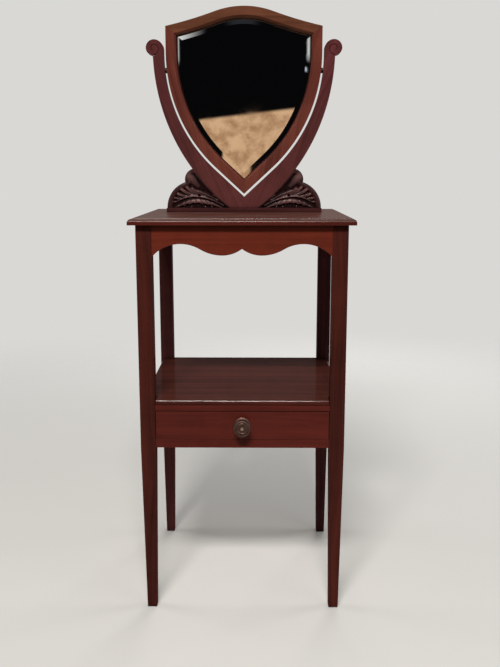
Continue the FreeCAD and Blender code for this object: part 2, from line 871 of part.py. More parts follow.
def scroll_groove():
    """The groove that carries the volute inwards on the front of the right upright."""
    front = dims.mirror_setback - dims.yoke_thickness / 2
    (low_x, low_height, _), _, (top_x, _, _), _ = scroll_centres()
    first = dims.scroll_radius - dims.scroll_step
    second = first - dims.scroll_step
    third = second - dims.scroll_step
    fourth = third - dims.scroll_step
    spiral = upright_sketch("scroll_spiral", front)
    trace(spiral, [
        (low_x, low_height, -first),
        (low_x - first, low_height + first, -second),
        (low_x - first + second, low_height + first + second, -third),
        (low_x - first + second + third, low_height + first + second - third, -fourth),
        (low_x - first + second + third - fourth, low_height + first + second - third - fourth),
    ], closed=False)
    parting_tool = doc.addObject("Part::RegularPolygon", "parting_tool")
    parting_tool.Polygon = 4
    parting_tool.Placement = Placement(Vector(0, 0, 0), Rotation(Vector(0, 1, 0), 90))
    bind(parting_tool, "Circumradius", dims.scroll_groove)
    place(parting_tool, low_x, front, dims.table_height + low_height)
    doc.recompute()
    groove = doc.addObject("Part::Sweep", "scroll_groove")
    groove.Sections = [parting_tool]
    groove.Spine = (spiral, [f"Edge{index + 1}" for index in range(4)])
    groove.Solid = True
    return groove


def make_support():
    """Plinth, scrolled uprights and lobed wings that carry the mirror on the table."""
    bottom = dims.plinth_height
    inside_x = dims.shield_width / 3
    blank = upright_sketch("upright_outline", dims.mirror_setback)
    trace(blank, [
        (0, bottom),
        (dims.yoke_foot_x, bottom, dims.yoke_outer_radius),
        *scroll_centres(),
        (inside_x, dims.scroll_height),
        (0, dims.shield_tip_height * 2),
    ])
    through = dims.wing_thickness * 2
    clearing = slab("yoke_clearing", shield_wire("yoke_inner", dims.mirror_setback, -dims.yoke_gap), through)
    bore = dims.bush_diameter / 2 + dims.joint_gap
    bush_hole = turned("bush_hole", "X", [
        (-dims.yoke_gap, 0),
        (dims.bush_length, 0),
        (dims.bush_length, bore),
        (-dims.yoke_gap, bore),
    ], side_x(dims.yoke_gap), dims.mirror_setback, pivot_z)
    hollows = [clearing, bush_hole, scroll_groove()] + screw_holes("yoke", ("upright",))
    keep_pair("{}_upright", cut("right_upright", slab("upright_blank", blank, dims.yoke_thickness), hollows))
    lobes = upright_sketch("wing_outline", dims.mirror_setback)
    trace(lobes, [
        (dims.yoke_foot_x, bottom),
        (dims.wing_width / 2, bottom, dims.wing_lobe_radius),
        (dims.wing_cusp_x, dims.wing_cusp_height, dims.wing_curl_radius),
        (dims.wing_notch_x, dims.wing_notch_height),
    ])
    hollows = [slab("upright_room", blank, through)] + screw_holes("wing", ("wing",))
    keep_pair("{}_carved_wing", cut("right_wing", slab("wing_blank", lobes, dims.wing_thickness), hollows))
    plinth = box("plinth_blank", (-dims.plinth_width / 2, support_front, dims.table_height),
                 (dims.plinth_width / 2, support_front + dims.plinth_depth, plinth_top))
    keep("mirror_plinth", cut("mirror_plinth", plinth, screw_holes("plinth", ("upright", "wing"))))
    screws = []
    for x, piece in screw_places():
        for way in (-1, 1):
            screw = turned(f"{piece}_screw_{way + 1}", "Z", screw_profile(Size.of(0)), x * way,
                           dims.mirror_setback, under_top)
            screws.append(screw)
    keep("mirror_screws", group("mirror_screws", screws))


# Mirror

frame_front = dims.mirror_setback - dims.frame_thickness / 2
frame_back = dims.mirror_setback + dims.frame_thickness / 2
glass_front = frame_front + dims.frame_lip
glass_back = glass_front + dims.glass_thickness
glass_edge = dims.frame_width - dims.glass_rebate
board_edge = dims.frame_width - dims.board_rebate


def shield_outline(name, depth):
    """The shield's outer outline: arched crest, upright corners, curved sides and straight lower edges."""
    sketch = upright_sketch(name, depth)
    half = dims.shield_width / 2
    hollow_radius = dims.crest_sweep_radius.number
    side_radius = dims.shield_side_radius.number
    crest_middle = dims.crest_height - dims.crest_radius
    crest = Vector(0, crest_middle.number, 0)
    corner = Vector(half.number, dims.shield_corner_height.number, 0)
    sweep = sweep_centre(crest, corner)
    meet = crest + (sweep - crest) * (dims.crest_radius.number / (sweep - crest).Length)
    spring = Vector(half.number, dims.shield_spring_height.number, 0)
    side = spring - Vector(side_radius, 0, 0)
    tip = Vector(0, dims.shield_tip_height.number, 0)
    to_tip = tip - side
    turn = math.atan2(to_tip.y, to_tip.x) + math.acos(side_radius / to_tip.Length)
    touch = side + Vector(math.cos(turn), math.sin(turn), 0) * side_radius
    flip = [lambda point: point, lambda point: Vector(-point.x, point.y, 0)]
    crest_arc = sketch.addGeometry(arc_between(meet, flip[1](meet), dims.crest_radius.number))
    sketch.addConstraint(Sketcher.Constraint("PointOnObject", crest_arc, 3, -2))
    drive(sketch, crest_middle, "DistanceY", -1, 1, crest_arc, 3)
    drive(sketch, dims.crest_radius, "Radius", crest_arc)
    tips = []
    for way, put in zip((1, -1), flip):
        start, stop = (1, 2) if way > 0 else (2, 1)
        shoulder = sketch.addGeometry(arc_between(put(meet), put(corner), way * hollow_radius))
        edge = sketch.addGeometry(Part.LineSegment(put(corner), put(spring)))
        flank = sketch.addGeometry(arc_between(put(spring), put(touch), -way * side_radius))
        lower = sketch.addGeometry(Part.LineSegment(put(touch), put(tip)))
        sketch.addConstraint(Sketcher.Constraint("Tangent", crest_arc, start, shoulder, start))
        drive(sketch, dims.crest_sweep_radius, "Radius", shoulder)
        pin_down(sketch, edge, 1, half * way, dims.shield_corner_height)
        sketch.addConstraint(Sketcher.Constraint("Coincident", shoulder, stop, edge, 1))
        sketch.addConstraint(Sketcher.Constraint("Vertical", edge))
        drive(sketch, dims.shield_spring_height, "DistanceY", -1, 1, edge, 2)
        sketch.addConstraint(Sketcher.Constraint("Tangent", edge, 2, flank, stop))
        drive(sketch, dims.shield_side_radius, "Radius", flank)
        sketch.addConstraint(Sketcher.Constraint("Tangent", flank, start, lower, 1))
        tips.append(lower)
    pin_down(sketch, tips[0], 2, 0, dims.shield_tip_height)
    sketch.addConstraint(Sketcher.Constraint("Coincident", tips[0], 2, tips[1], 2))
    return sketch


def sweep_centre(crest, corner):
    """Centre of the hollow sweep that leaves the crest's arc smoothly and ends at the shield's corner."""
    far = dims.crest_radius.number + dims.crest_sweep_radius.number
    near = dims.crest_sweep_radius.number
    span = corner - crest
    along = (far * far - near * near + span.Length ** 2) / (2 * span.Length)
    aside = math.sqrt(far * far - along * along)
    unit = span * (1 / span.Length)
    return crest + unit * along + Vector(-unit.y, unit.x, 0) * aside


def shield_wire(name, depth, inset):
    """A wire parallel to the shield's outline at a depth, set in by an inset or out by a negative one."""
    wire = doc.addObject("Part::Offset2D", name)
    wire.Source = shield_outline(f"{name}_shield", depth)
    wire.Join = "Intersection"
    bind(wire, "Value", -inset)
    return wire


def board_screw(name, x, height, play):
    """A screw from the back of the backboard into the frame, larger all round by a play."""
    head = dims.board_screw_head / 2 + play
    shank = dims.board_screw_diameter / 2 + play
    profile = [
        (0, 0),
        (0, head),
        (shank - head, shank),
        (-play - dims.board_screw_length, shank),
        (-play - dims.board_screw_length, 0),
    ]
    return turned(name, "Y", profile, x, frame_back, dims.table_height + height)


def board_screw_places():
    """Where the backboard's screws sit, (x, height): in the middle of the crest and along both sides."""
    places = [(Size.of(0), dims.crest_height - dims.board_screw_inset)]
    side_middle = dims.shield_width / 2 - dims.shield_side_radius
    side_reach = dims.shield_side_radius - dims.board_screw_inset
    for way in (-1, 1):
        for bend in map(math.radians, SIDE_SCREW_ANGLES):
            places.append(((side_middle + side_reach * math.cos(bend)) * way,
                           dims.shield_spring_height - side_reach * math.sin(bend)))
    return places


def shield_plate(name, front, back, inset, back_inset=None):
    """A solid between two depths, set in from the shield's outline evenly or with sloping sides."""
    solid = doc.addObject("Part::Loft", name)
    solid.Sections = [
        shield_wire(f"{name}_front", front, inset),
        shield_wire(f"{name}_back", back, back_inset or inset),
    ]
    solid.Solid = True
    solid.Ruled = True
    return solid


def board_screws(stem, play):
    """All the screws of the backboard, larger all round by a play."""
    return [board_screw(f"{stem}_{index}", *spot, play) for index, spot in enumerate(board_screw_places())]


def crest_region():
    """The block above the two mitres, which parts the crest rail from the stiles."""
    half = dims.shield_width / 2
    run = dims.frame_width * 3
    beyond = dims.frame_width
    region = upright_sketch("crest_region", dims.mirror_setback)
    right = [
        (half - run, dims.shield_corner_height - run * dims.mitre_slope),
        (half + beyond, dims.shield_corner_height + beyond * dims.mitre_slope),
        (half + beyond, dims.crest_height + beyond),
    ]
    trace(region, right + [(-x, height) for x, height in reversed(right)])
    return slab("crest_block", region, dims.frame_thickness * 2)


def make_frame():
    """The shield frame: moulded, rebated for the glass and the board, and mitred into three pieces."""
    beyond = frame_back + dims.frame_thickness
    hollows = [
        shield_plate("sight", frame_front - dims.frame_thickness, beyond, dims.frame_width),
        shield_plate("frame_bevel", frame_front, frame_front + dims.frame_bevel_depth,
                     dims.frame_width - dims.frame_bevel_width, dims.frame_width),
        shield_plate("glass_seat", glass_front, beyond, glass_edge),
        shield_plate("board_seat", glass_back, beyond, board_edge),
    ]
    shank = dims.pin_diameter / 2 + dims.joint_gap
    collar = dims.pin_collar_diameter / 2 + dims.joint_gap
    pin_hole = turned("pin_hole", "X", [
        (-dims.pin_depth - dims.joint_gap, 0),
        (dims.yoke_gap, 0),
        (dims.yoke_gap, collar),
        (-dims.pin_seat, collar),
        (-dims.pin_seat, shank),
        (-dims.pin_depth - dims.joint_gap, shank),
    ], side_x(Size.of(0)), dims.mirror_setback, pivot_z)
    hollows += [pin_hole, mirrored("left_pin_hole", pin_hole)] + board_screws("frame_hole", dims.joint_gap)
    blank = slab("frame_blank", shield_outline("frame_outline", dims.mirror_setback), dims.frame_thickness)
    frame = cut("frame", blank, hollows)
    crest_block = crest_region()
    keep("crest_rail", common("crest_rail", frame, crest_block))
    right_half = box("right_half", (0, frame_front, dims.table_height),
                     (dims.shield_width, frame_back, dims.table_height + dims.crest_height))
    stiles = cut("stiles", frame, [crest_block])
    keep_pair("{}_stile", common("right_stile", stiles, right_half))


def make_glass():
    """The bevelled glass, the backboard behind it and the backboard's screws."""
    edge = glass_edge + dims.glass_play
    bevel_back = glass_front + dims.glass_bevel_depth
    face = shield_plate("glass_face", glass_front, bevel_back, edge + dims.glass_bevel_width, edge)
    plate = shield_plate("glass_plate", bevel_back, glass_back, edge)
    keep("mirror_glass", fuse("mirror_glass", [face, plate]))
    board = shield_plate("backboard_blank", glass_back, frame_back, board_edge + dims.glass_play)
    keep("mirror_backboard", cut("mirror_backboard", board, board_screws("board_hole", dims.joint_gap)))
    keep("backboard_screws", group("backboard_screws", board_screws("board_screw", Size.of(0))))


def make_pivots():
    """A collared pin in each stile and the bush in the upright that it turns in."""
    radius = dims.pin_diameter / 2
    collar = dims.pin_collar_diameter / 2
    collar_end = dims.yoke_gap - dims.pin_collar_gap
    pin_end = collar_end + dims.bush_length
    pin = [
        (-dims.pin_depth, 0),
        (pin_end, 0),
        (pin_end, radius),
        (collar_end, radius),
        (collar_end, collar),
        (-dims.pin_seat, collar),
        (-dims.pin_seat, radius),
        (-dims.pin_depth, radius),
    ]
    seat = (side_x(Size.of(0)), dims.mirror_setback, pivot_z)
    keep_pair("{}_pivot_pin", turned("right_pivot_pin", "X", pin, *seat))
    bore = radius + dims.running_gap
    bush = [
        (0, bore),
        (dims.bush_length, bore),
        (dims.bush_length, dims.bush_diameter / 2),
        (0, dims.bush_diameter / 2),
    ]
    mouth = (side_x(dims.yoke_gap), dims.mirror_setback, pivot_z)
    keep_pair("{}_pivot_bush", turned("right_pivot_bush", "X", bush, *mouth))


def write_parts():
    """Check every object and every sub-part, then write each sub-part to its own file."""
    doc.recompute()
    for item in doc.Objects:
        if "Invalid" in item.State or "Error" in item.State:
            raise RuntimeError(f"{item.Label} did not build: {item.State}")
    os.makedirs("parts", exist_ok=True)
    for label, item in nodes.items():
        if item.Shape.isNull() or not item.Shape.isValid() or not item.Shape.Solids:
            raise RuntimeError(f"{label} has no valid solid")
        item.Shape.exportStep(os.path.join("parts", f"{label}.step"))
        print(f"{label}: {len(item.Shape.Solids)} solid, {item.Shape.Volume / 1000:.2f} cm3")


make_rails()
drawer_rail("drawer_top_rail", opening_top, under_shelf)
drawer_rail("drawer_bottom_rail", case_bottom, opening_bottom)
make_legs()
make_top()
make_blocks()
make_shelf()
make_case_fittings()
make_drawer()
make_knob()
make_support()
make_frame()
make_glass()
make_pivots()
write_parts()
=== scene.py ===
import logging
import math
from dataclasses import dataclass
from enum import Enum
from typing import ClassVar, Iterable, Mapping, Optional, Sequence, Union

import bmesh
import bpy
import numpy as np
from mathutils import Euler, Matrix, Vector


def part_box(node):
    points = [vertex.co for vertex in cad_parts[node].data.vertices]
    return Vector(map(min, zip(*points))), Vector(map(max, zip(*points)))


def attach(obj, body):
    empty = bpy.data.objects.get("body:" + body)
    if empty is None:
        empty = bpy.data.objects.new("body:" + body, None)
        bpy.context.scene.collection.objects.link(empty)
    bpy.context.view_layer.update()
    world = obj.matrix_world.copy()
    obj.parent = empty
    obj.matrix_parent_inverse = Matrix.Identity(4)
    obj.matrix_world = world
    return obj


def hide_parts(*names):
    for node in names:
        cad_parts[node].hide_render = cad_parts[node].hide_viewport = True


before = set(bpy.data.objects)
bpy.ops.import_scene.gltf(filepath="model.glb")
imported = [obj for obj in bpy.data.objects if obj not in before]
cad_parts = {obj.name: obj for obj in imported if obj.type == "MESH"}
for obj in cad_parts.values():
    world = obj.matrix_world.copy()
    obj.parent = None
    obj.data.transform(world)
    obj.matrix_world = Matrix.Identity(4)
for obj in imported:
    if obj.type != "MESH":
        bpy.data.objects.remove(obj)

# Looks of the washstand: polished mahogany, pine linings, dull brass and a silvered shield mirror.
# Everything is in metres in the frame of the solids; names that end in _mm are millimetres.

LOG = logging.getLogger("washstand")
MM = 0.001
NEAR = 1e-6
IMAGE_HEIGHT = 667
SENSOR = 36.0
SIDES = (("left", -1), ("right", 1))

Colour = tuple[float, float, float, float]
Point = tuple[float, float, float]
Pair = tuple[float, float]
Value = Union["Signal", float, Sequence[float]]


def tone(red: int, green: int, blue: int) -> Colour:
    """Turns a screen colour into the linear one that shaders work with.

    Args:
        red: red, from 0 to 255.
        green: green, from 0 to 255.
        blue: blue, from 0 to 255.

    Returns:
        The linear colour with full alpha.
    """
    def linear(level: int) -> float:
        """One channel of the colour."""
        share = level / 255
        return share / 12.92 if share <= 0.04045 else ((share + 0.055) / 1.055) ** 2.4

    return linear(red), linear(green), linear(blue), 1.0


def show(item: bpy.types.Object) -> None:
    """Puts an object in the scene."""
    bpy.context.scene.collection.objects.link(item)


# Shader building


class Signal:
    """An output socket that takes part in Python sums. Each sum adds a Math node."""

    def __init__(self, shader: "Shader", socket: bpy.types.NodeSocket) -> None:
        """Keeps the socket and the shader that its sums are added to."""
        self.shader = shader
        self.socket = socket

    def _math(self, operation: str, first: Value, second: Value) -> "Signal":
        """Adds one Math node and returns its result."""
        return self.shader.add("ShaderNodeMath", {"operation": operation}, {0: first, 1: second})

    def __add__(self, other: Value) -> "Signal":
        """This plus another value."""
        return self._math("ADD", self, other)

    def __sub__(self, other: Value) -> "Signal":
        """This less another value."""
        return self._math("SUBTRACT", self, other)

    def __rsub__(self, other: Value) -> "Signal":
        """Another value less this."""
        return self._math("SUBTRACT", other, self)

    def __mul__(self, other: Value) -> "Signal":
        """This times another value."""
        return self._math("MULTIPLY", self, other)

    __radd__ = __add__
    __rmul__ = __mul__

    def __gt__(self, other: Value) -> "Signal":
        """1 where this is over another value, else 0."""
        return self._math("GREATER_THAN", self, other)


class Shader:
    """The node tree of one material, of the world or of a modifier.

    Attributes:
        EDGE_RAYS: rays that feel for an edge.
        CORNER_RAYS: rays that feel for an inner corner.
        TURNED: turn of the normal from which an edge shows, and at which it shows fully.
        SHUT_IN: openness from which a recess shows, and at which it shows fully.
        FACING_UP: upward part of the normal on upright faces and on level ones.
        OFF_FRONT: how far up a rounded edge faces where it leaves the front.
        OFF_FACE: how far up it faces where it leaves the upper face.
    """

    EDGE_RAYS: ClassVar[int] = 4
    CORNER_RAYS: ClassVar[int] = 6
    TURNED: ClassVar[Pair] = (0.01, 0.16)
    SHUT_IN: ClassVar[Pair] = (0.85, 0.35)
    FACING_UP: ClassVar[Pair] = (0.1, 0.95)
    OFF_FRONT: ClassVar[Pair] = (0.0, 0.15)
    OFF_FACE: ClassVar[Pair] = (1.0, 0.9)

    def __init__(self, tree: bpy.types.NodeTree) -> None:
        """Takes over a tree and empties it."""
        self.tree = tree
        tree.nodes.clear()

    def add(self, kind: str, settings: Optional[Mapping[str, object]] = None,
            sockets: Optional[Mapping[Union[str, int], Value]] = None, out: Union[str, int] = 0) -> Signal:
        """Adds a node.

        Args:
            kind: the node's type.
            settings: its own settings, set first; "stops" are a ramp's places and colours.
            sockets: values or links for its inputs, by name or number.
            out: the output that is wanted.

        Returns:
            The wanted output.
        """
        node = self.tree.nodes.new(kind)
        for name, setting in (settings or {}).items():
            if name == "stops":
                self._set_stops(node.color_ramp, setting)
            else:
                setattr(node, name, setting)
        for key, value in (sockets or {}).items():
            self._feed(node.inputs[key], value)
        return Signal(self, node.outputs[out]) if node.outputs else Signal(self, node.inputs[0])

    def _feed(self, socket: bpy.types.NodeSocket, value: Value) -> None:
        """Links a signal to a socket or sets the socket's own value.

        Args:
            socket: the input to be fed.
            value: the signal or the value that it gets.
        """
        if isinstance(value, Signal):
            self.tree.links.new(value.socket, socket)
        else:
            socket.default_value = value

    @staticmethod
    def _set_stops(ramp: bpy.types.ColorRamp, stops: Sequence[tuple[float, Colour]]) -> None:
        """Gives a ramp its stops.

        Args:
            ramp: the ramp.
            stops: place and colour of each stop.
        """
        while len(ramp.elements) < len(stops):
            ramp.elements.new(1.0)
        for element, (place, colour) in zip(ramp.elements, stops):
            element.position = place
            element.color = colour

    def mix(self, factor: Value, first: Value, second: Value) -> Signal:
        """Mixes two colours, with that share of the second."""
        return self.add("ShaderNodeMix", {"data_type": "RGBA"}, {0: factor, 6: first, 7: second}, out=2)

    def vector(self, operation: str, first: Value, second: Value, out: int = 0) -> Signal:
        """Works on two vectors and returns the result, or the value where out is 1."""
        return self.add("ShaderNodeVectorMath", {"operation": operation}, {0: first, 1: second}, out=out)

    def noise(self, place: Value, scale: float, detail: float = 2.0, roughness: float = 0.5) -> Signal:
        """A cloudy value from 0 to 1, with that many clouds per metre and octaves."""
        sockets = {"Vector": place, "Scale": scale, "Detail": detail, "Roughness": roughness}
        return self.add("ShaderNodeTexNoise", sockets=sockets)

    def place(self) -> Signal:
        """Where a point lies in the frame of its object."""
        return self.add("ShaderNodeTexCoord", out="Object")

    def step(self, value: Value, low: float, high: float) -> Signal:
        """Rises smoothly from 0 at low to 1 at high, or falls where low is the larger."""
        settings = {"interpolation_type": "SMOOTHSTEP"}
        return self.add("ShaderNodeMapRange", settings, {0: value, 1: low, 2: high})

    def worn_edges(self, reach: float) -> Signal:
        """Finds the edges of a surface.

        Args:
            reach: how far from an edge it is felt, in metres.

        Returns:
            How near an outer or inner edge a point is, from 0 on the flat to about 1 on the edge.
        """
        rounded = self.add("ShaderNodeBevel", {"samples": self.EDGE_RAYS}, {"Radius": reach})
        flat = self.add("ShaderNodeNewGeometry", out="Normal")
        return self.step(1 - self.vector("DOT_PRODUCT", rounded, flat, out=1), *self.TURNED)

    def recesses(self, reach: float) -> Signal:
        """Finds the grooves and inner corners of a surface.

        Args:
            reach: how far out of a corner it is felt, in metres.

        Returns:
            How deep in a groove or an inner corner a point is, from 0 in the open to 1.
        """
        settings = {"samples": self.CORNER_RAYS}
        openness = self.add("ShaderNodeAmbientOcclusion", settings, {"Distance": reach}, out="AO")
        return self.step(openness, *self.SHUT_IN)

    def upward(self) -> Signal:
        """How far a surface faces up, from 0 on an upright face to 1 on a level one."""
        normal = self.add("ShaderNodeNewGeometry", out="Normal")
        return self.step(self.add("ShaderNodeSeparateXYZ", sockets={0: normal}, out="Z"), *self.FACING_UP)

    def turned_edges(self) -> Signal:
        """Where a board's rounded edge turns from its upper face to its front, from 0 to 1."""
        up = self.upward()
        return self.step(up, *self.OFF_FRONT) * self.step(up, *self.OFF_FACE)

    def finish(self, constants: Mapping[str, Value], varying: Mapping[str, Value],
               height: Optional[Signal] = None, rise: float = 0.0) -> None:
        """Ends a material in one Principled shader.

        Args:
            constants: inputs that are the same all over.
            varying: inputs that change over the surface.
            height: surface height from 0 to 1, if it has any.
            rise: what a height of 1 is, in metres.
        """
        sockets: dict[Union[str, int], Value] = {**constants, **varying}
        if height is not None:
            bump = {"Strength": 1.0, "Distance": rise, "Height": height}
            sockets["Normal"] = self.add("ShaderNodeBump", sockets=bump)
        surface = self.add("ShaderNodeBsdfPrincipled", sockets=sockets)
        self.add("ShaderNodeOutputMaterial", sockets={"Surface": surface})

    def fade(self, share: Signal, first: Signal, second: Signal) -> None:
        """Ends a material in two shaders, with that share of the second."""
        surface = self.add("ShaderNodeMixShader", sockets={0: share, 1: first, 2: second})
        self.add("ShaderNodeOutputMaterial", sockets={"Surface": surface})


# Finishes


class Grain(Enum):
    """The way the fibres of a board run, as the order in which its axes are read."""

    ALONG_X = ("X", "Y", "Z")
    ALONG_Y = ("Y", "X", "Z")
    ALONG_Z = ("Z", "X", "Y")


class Stain(Enum):
    """The colours of a wood: its early wood, its overall colour, and its late wood, which also darkens pores,
    patina and, as dirt and painted shade, carved hollows.
    """

    # TAWNY and RUSSET are greyed a little as a painted reflection of bright surroundings on the crest and
    # stiles.
    TAWNY = (tone(110, 66, 48), tone(84, 50, 36), tone(54, 30, 22))
    RUSSET = (tone(114, 58, 47), tone(88, 44, 36), tone(56, 26, 22))
    WARM = (tone(99, 39, 27), tone(84, 32, 22), tone(62, 24, 17))
    PLAIN = (tone(88, 33, 25), tone(72, 26, 20), tone(52, 19, 15))
    DEEP = (tone(77, 34, 28), tone(60, 26, 21), tone(38, 18, 15))
    ROSY = (tone(95, 49, 49), tone(74, 37, 37), tone(46, 24, 24))
    DUSKY = (tone(80, 42, 41), tone(60, 31, 31), tone(34, 18, 18))
    SOOTY = (tone(54, 27, 26), tone(42, 20, 20), tone(21, 10, 10))
    PINE = (tone(196, 160, 112), tone(168, 126, 82), tone(112, 76, 46))


class Finish:
    """A surface finish that makes its material once."""

    name: str

    def material(self) -> bpy.types.Material:
        """Makes the finish's material at its first use.

        Returns:
            The material.
        """
        made = bpy.data.materials.get(self.name)
        if made is None:
            made = bpy.data.materials.new(self.name)
            made.use_nodes = True
            self.paint(Shader(made.node_tree))
        return made

    def paint(self, shader: Shader) -> None:
        """Fills the node tree of the material."""
        raise NotImplementedError


@dataclass(frozen=True)
class Wood(Finish):
    """Sawn wood with bands, fibre lines, pores and rubbed edges.

    Attributes:
        name: the material's name.
        grain: the way its fibres run.
        stain: its colours.
        lean: degrees by which the fibres lean to the right, seen from the front.
        cut: metres along the log at which the board starts, so that boards differ.
        rough: roughness of the surface under the polish.
        polish: weight of the polish over it.
        dulled: roughness of the polish.
        nosing: weight of the polish that hands have added to its rounded front edge.
        bloom: weight of the grey bloom on its upper face, which also serves as a painted sheen of grazing
            reflection.
        grime_and_shade: weight of the dirt and painted shade that darken its recesses and inner corners.
        grime_and_shade_reach: how far that dirt and painted shade spread from them, in metres.
        carved: whether the piece's "hollow" and "crown" attributes darken its hollows, with dirt and painted
            shade, and lighten its crowns, with wear and a painted highlight.
    """

    name: str
    grain: Grain
    stain: Stain
    lean: float = 0.0
    cut: float = 0.0
    rough: float = 0.42
    polish: float = 0.1
    dulled: float = 0.12
    nosing: float = 0.0
    bloom: float = 0.0
    grime_and_shade: float = 0.7
    grime_and_shade_reach: float = 11 * MM
    carved: bool = False

    # Colour of the carved crowns: worn wood with a painted highlight.
    WEAR_AND_HIGHLIGHT: ClassVar[Colour] = tone(138, 98, 95)
    # Colour of the dirt and painted shade in recesses and inner corners.
    GRIME_AND_SHADE: ClassVar[Colour] = tone(22, 10, 8)
    # Grey of the bloom on upward faces, which also stands for a painted sheen.
    BLOOM_AND_SHEEN: ClassVar[Colour] = tone(102, 87, 79)
    # Streaks per metre along the fibres and across them, their shares of the figure, and its colours' places.
    BANDS: ClassVar[Pair] = (0.9, 26.0)
    LINES: ClassVar[Pair] = (3.0, 210.0)
    RIPPLE: ClassVar[Pair] = (30.0, 7.0)
    PORES: ClassVar[Pair] = (110.0, 2400.0)
    SHARES: ClassVar[Point] = (0.62, 0.38, 0.14)
    STOPS: ClassVar[Point] = (0.28, 0.48, 0.72)
    # Weights of the colours laid over the figure.
    PATINA_SHADE: ClassVar[float] = 0.3
    PORE_SHADE: ClassVar[float] = 0.4
    RUBBED_SHADE: ClassVar[float] = 0.35
    CROWN_SHADE: ClassVar[float] = 0.8
    HOLLOW_SHADE: ClassVar[float] = 0.9
    PATINA_CLOUDS: ClassVar[float] = 7.0
    SWAY_CLOUDS: ClassVar[float] = 2.3
    SWAY: ClassVar[Pair] = (0.05, 0.03)
    EDGE_REACH: ClassVar[float] = 2.2 * MM
    EDGE_SHINE: ClassVar[float] = 0.3
    RELIEF: ClassVar[float] = 0.1 * MM

    def paint(self, shader: Shader) -> None:
        """Fills the node tree of the material.

        Args:
            shader: the material's own shader, still empty.
        """
        pale, middle, dark = self.stain.value
        fibre = self._fibre_place(shader)
        bands = self._streaks(shader, fibre, self.BANDS, 3.0, 0.6)
        lines = self._streaks(shader, fibre, self.LINES, 3.0, 0.55)
        ripple = self._streaks(shader, fibre, self.RIPPLE)
        pores = shader.step(self._streaks(shader, fibre, self.PORES, 1.0), 0.6, 0.72)
        patina = shader.noise(fibre, self.PATINA_CLOUDS, 3.0, 0.6)
        broad, fine, rippled = self.SHARES
        figure = bands * broad + lines * fine + (ripple - 0.5) * rippled
        stops = list(zip(self.STOPS, (dark, middle, pale)))
        colour = shader.add("ShaderNodeValToRGB", {"stops": stops}, {0: figure})
        colour = shader.mix(shader.step(patina, 0.5, 0.75) * self.PATINA_SHADE, colour, dark)
        colour = shader.mix(pores * self.PORE_SHADE, colour, dark)
        edges = shader.worn_edges(self.EDGE_REACH)
        lightened = edges * shader.step(patina, 0.3, 0.6)
        colour = shader.mix(lightened * self.RUBBED_SHADE, colour, pale)
        roughness = self.rough + (patina - 0.5) * 0.16 + pores * 0.12 + lightened * 0.06
        # Upward faces turn paler and greyer: partly a real bloom, partly a painted sheen of grazing
        # reflection.
        if self.bloom:
            cloud = 0.5 + shader.step(patina, 0.3, 0.7)
            colour = shader.mix(shader.upward() * cloud * self.bloom, colour, self.BLOOM_AND_SHEEN)
        # Recesses and inner corners darken, partly as dirt and partly as painted shade, found by ambient
        # occlusion.
        grime_and_shade = shader.recesses(self.grime_and_shade_reach)
        colour = shader.mix(grime_and_shade * self.grime_and_shade, colour, self.GRIME_AND_SHADE)
        shine = edges * self.EDGE_SHINE
        if self.nosing:
            shine = shine + shader.turned_edges() * self.nosing
        gloss = (self.polish * (1.2 - shader.step(patina, 0.35, 0.8) * 0.5) + shine) * (1 - grime_and_shade * 0.7)
        # Carved faces: hollows darken, partly as dirt and partly as painted shade; crowns lighten, partly as
        # wear and partly as a painted highlight.
        if self.carved:
            hollow = shader.add("ShaderNodeAttribute", {"attribute_name": "hollow"}, out="Fac")
            crown = shader.add("ShaderNodeAttribute", {"attribute_name": "crown"}, out="Fac")
            crown = crown * shader.step(patina, 0.25, 0.65)
            colour = shader.mix(crown * self.CROWN_SHADE, colour, self.WEAR_AND_HIGHLIGHT)
            colour = shader.mix(hollow * self.HOLLOW_SHADE, colour, dark)
            roughness = roughness + hollow * 0.2
            gloss = gloss * (1 - hollow * 0.8)
        shader.finish({"Coat Roughness": self.dulled, "Specular IOR Level": 0.0},
                      {"Base Color": colour, "Roughness": roughness, "Coat Weight": gloss},
                      lines * 0.2 - pores * 0.2, self.RELIEF)

    def _fibre_place(self, shader: Shader) -> Signal:
        """Finds where a point lies in the board.

        Args:
            shader: the material's own shader.

        Returns:
            The place along the fibres, then across them.
        """
        place = shader.place()
        leaning = shader.add("ShaderNodeVectorRotate", {"rotation_type": "Y_AXIS"},
                             {"Vector": place, "Angle": -math.radians(self.lean)})
        along, across, through = (
            shader.add("ShaderNodeSeparateXYZ", sockets={0: leaning}, out=axis) for axis in self.grain.value)
        sway = shader.noise(leaning, self.SWAY_CLOUDS, 1.0) - 0.5
        wide, deep = self.SWAY
        return shader.add("ShaderNodeCombineXYZ", sockets={
            0: along + self.cut, 1: across + sway * wide, 2: through + sway * deep})

    @staticmethod
    def _streaks(shader: Shader, fibre: Signal, features: Pair, detail: float = 2.0,
                 roughness: float = 0.5) -> Signal:
        """Draws noise out along the fibres.

        Args:
            shader: the material's own shader.
            fibre: the place along the fibres, then across them.
            features: streaks per metre along the fibres and across them.
            detail: octaves of the noise.
            roughness: weight of the finer octaves.

        Returns:
            The streaks, from 0 to 1.
        """
        along, across = features
        place = shader.vector("MULTIPLY", fibre, (along, across, across))
        return shader.noise(place, 1.0, detail, roughness)


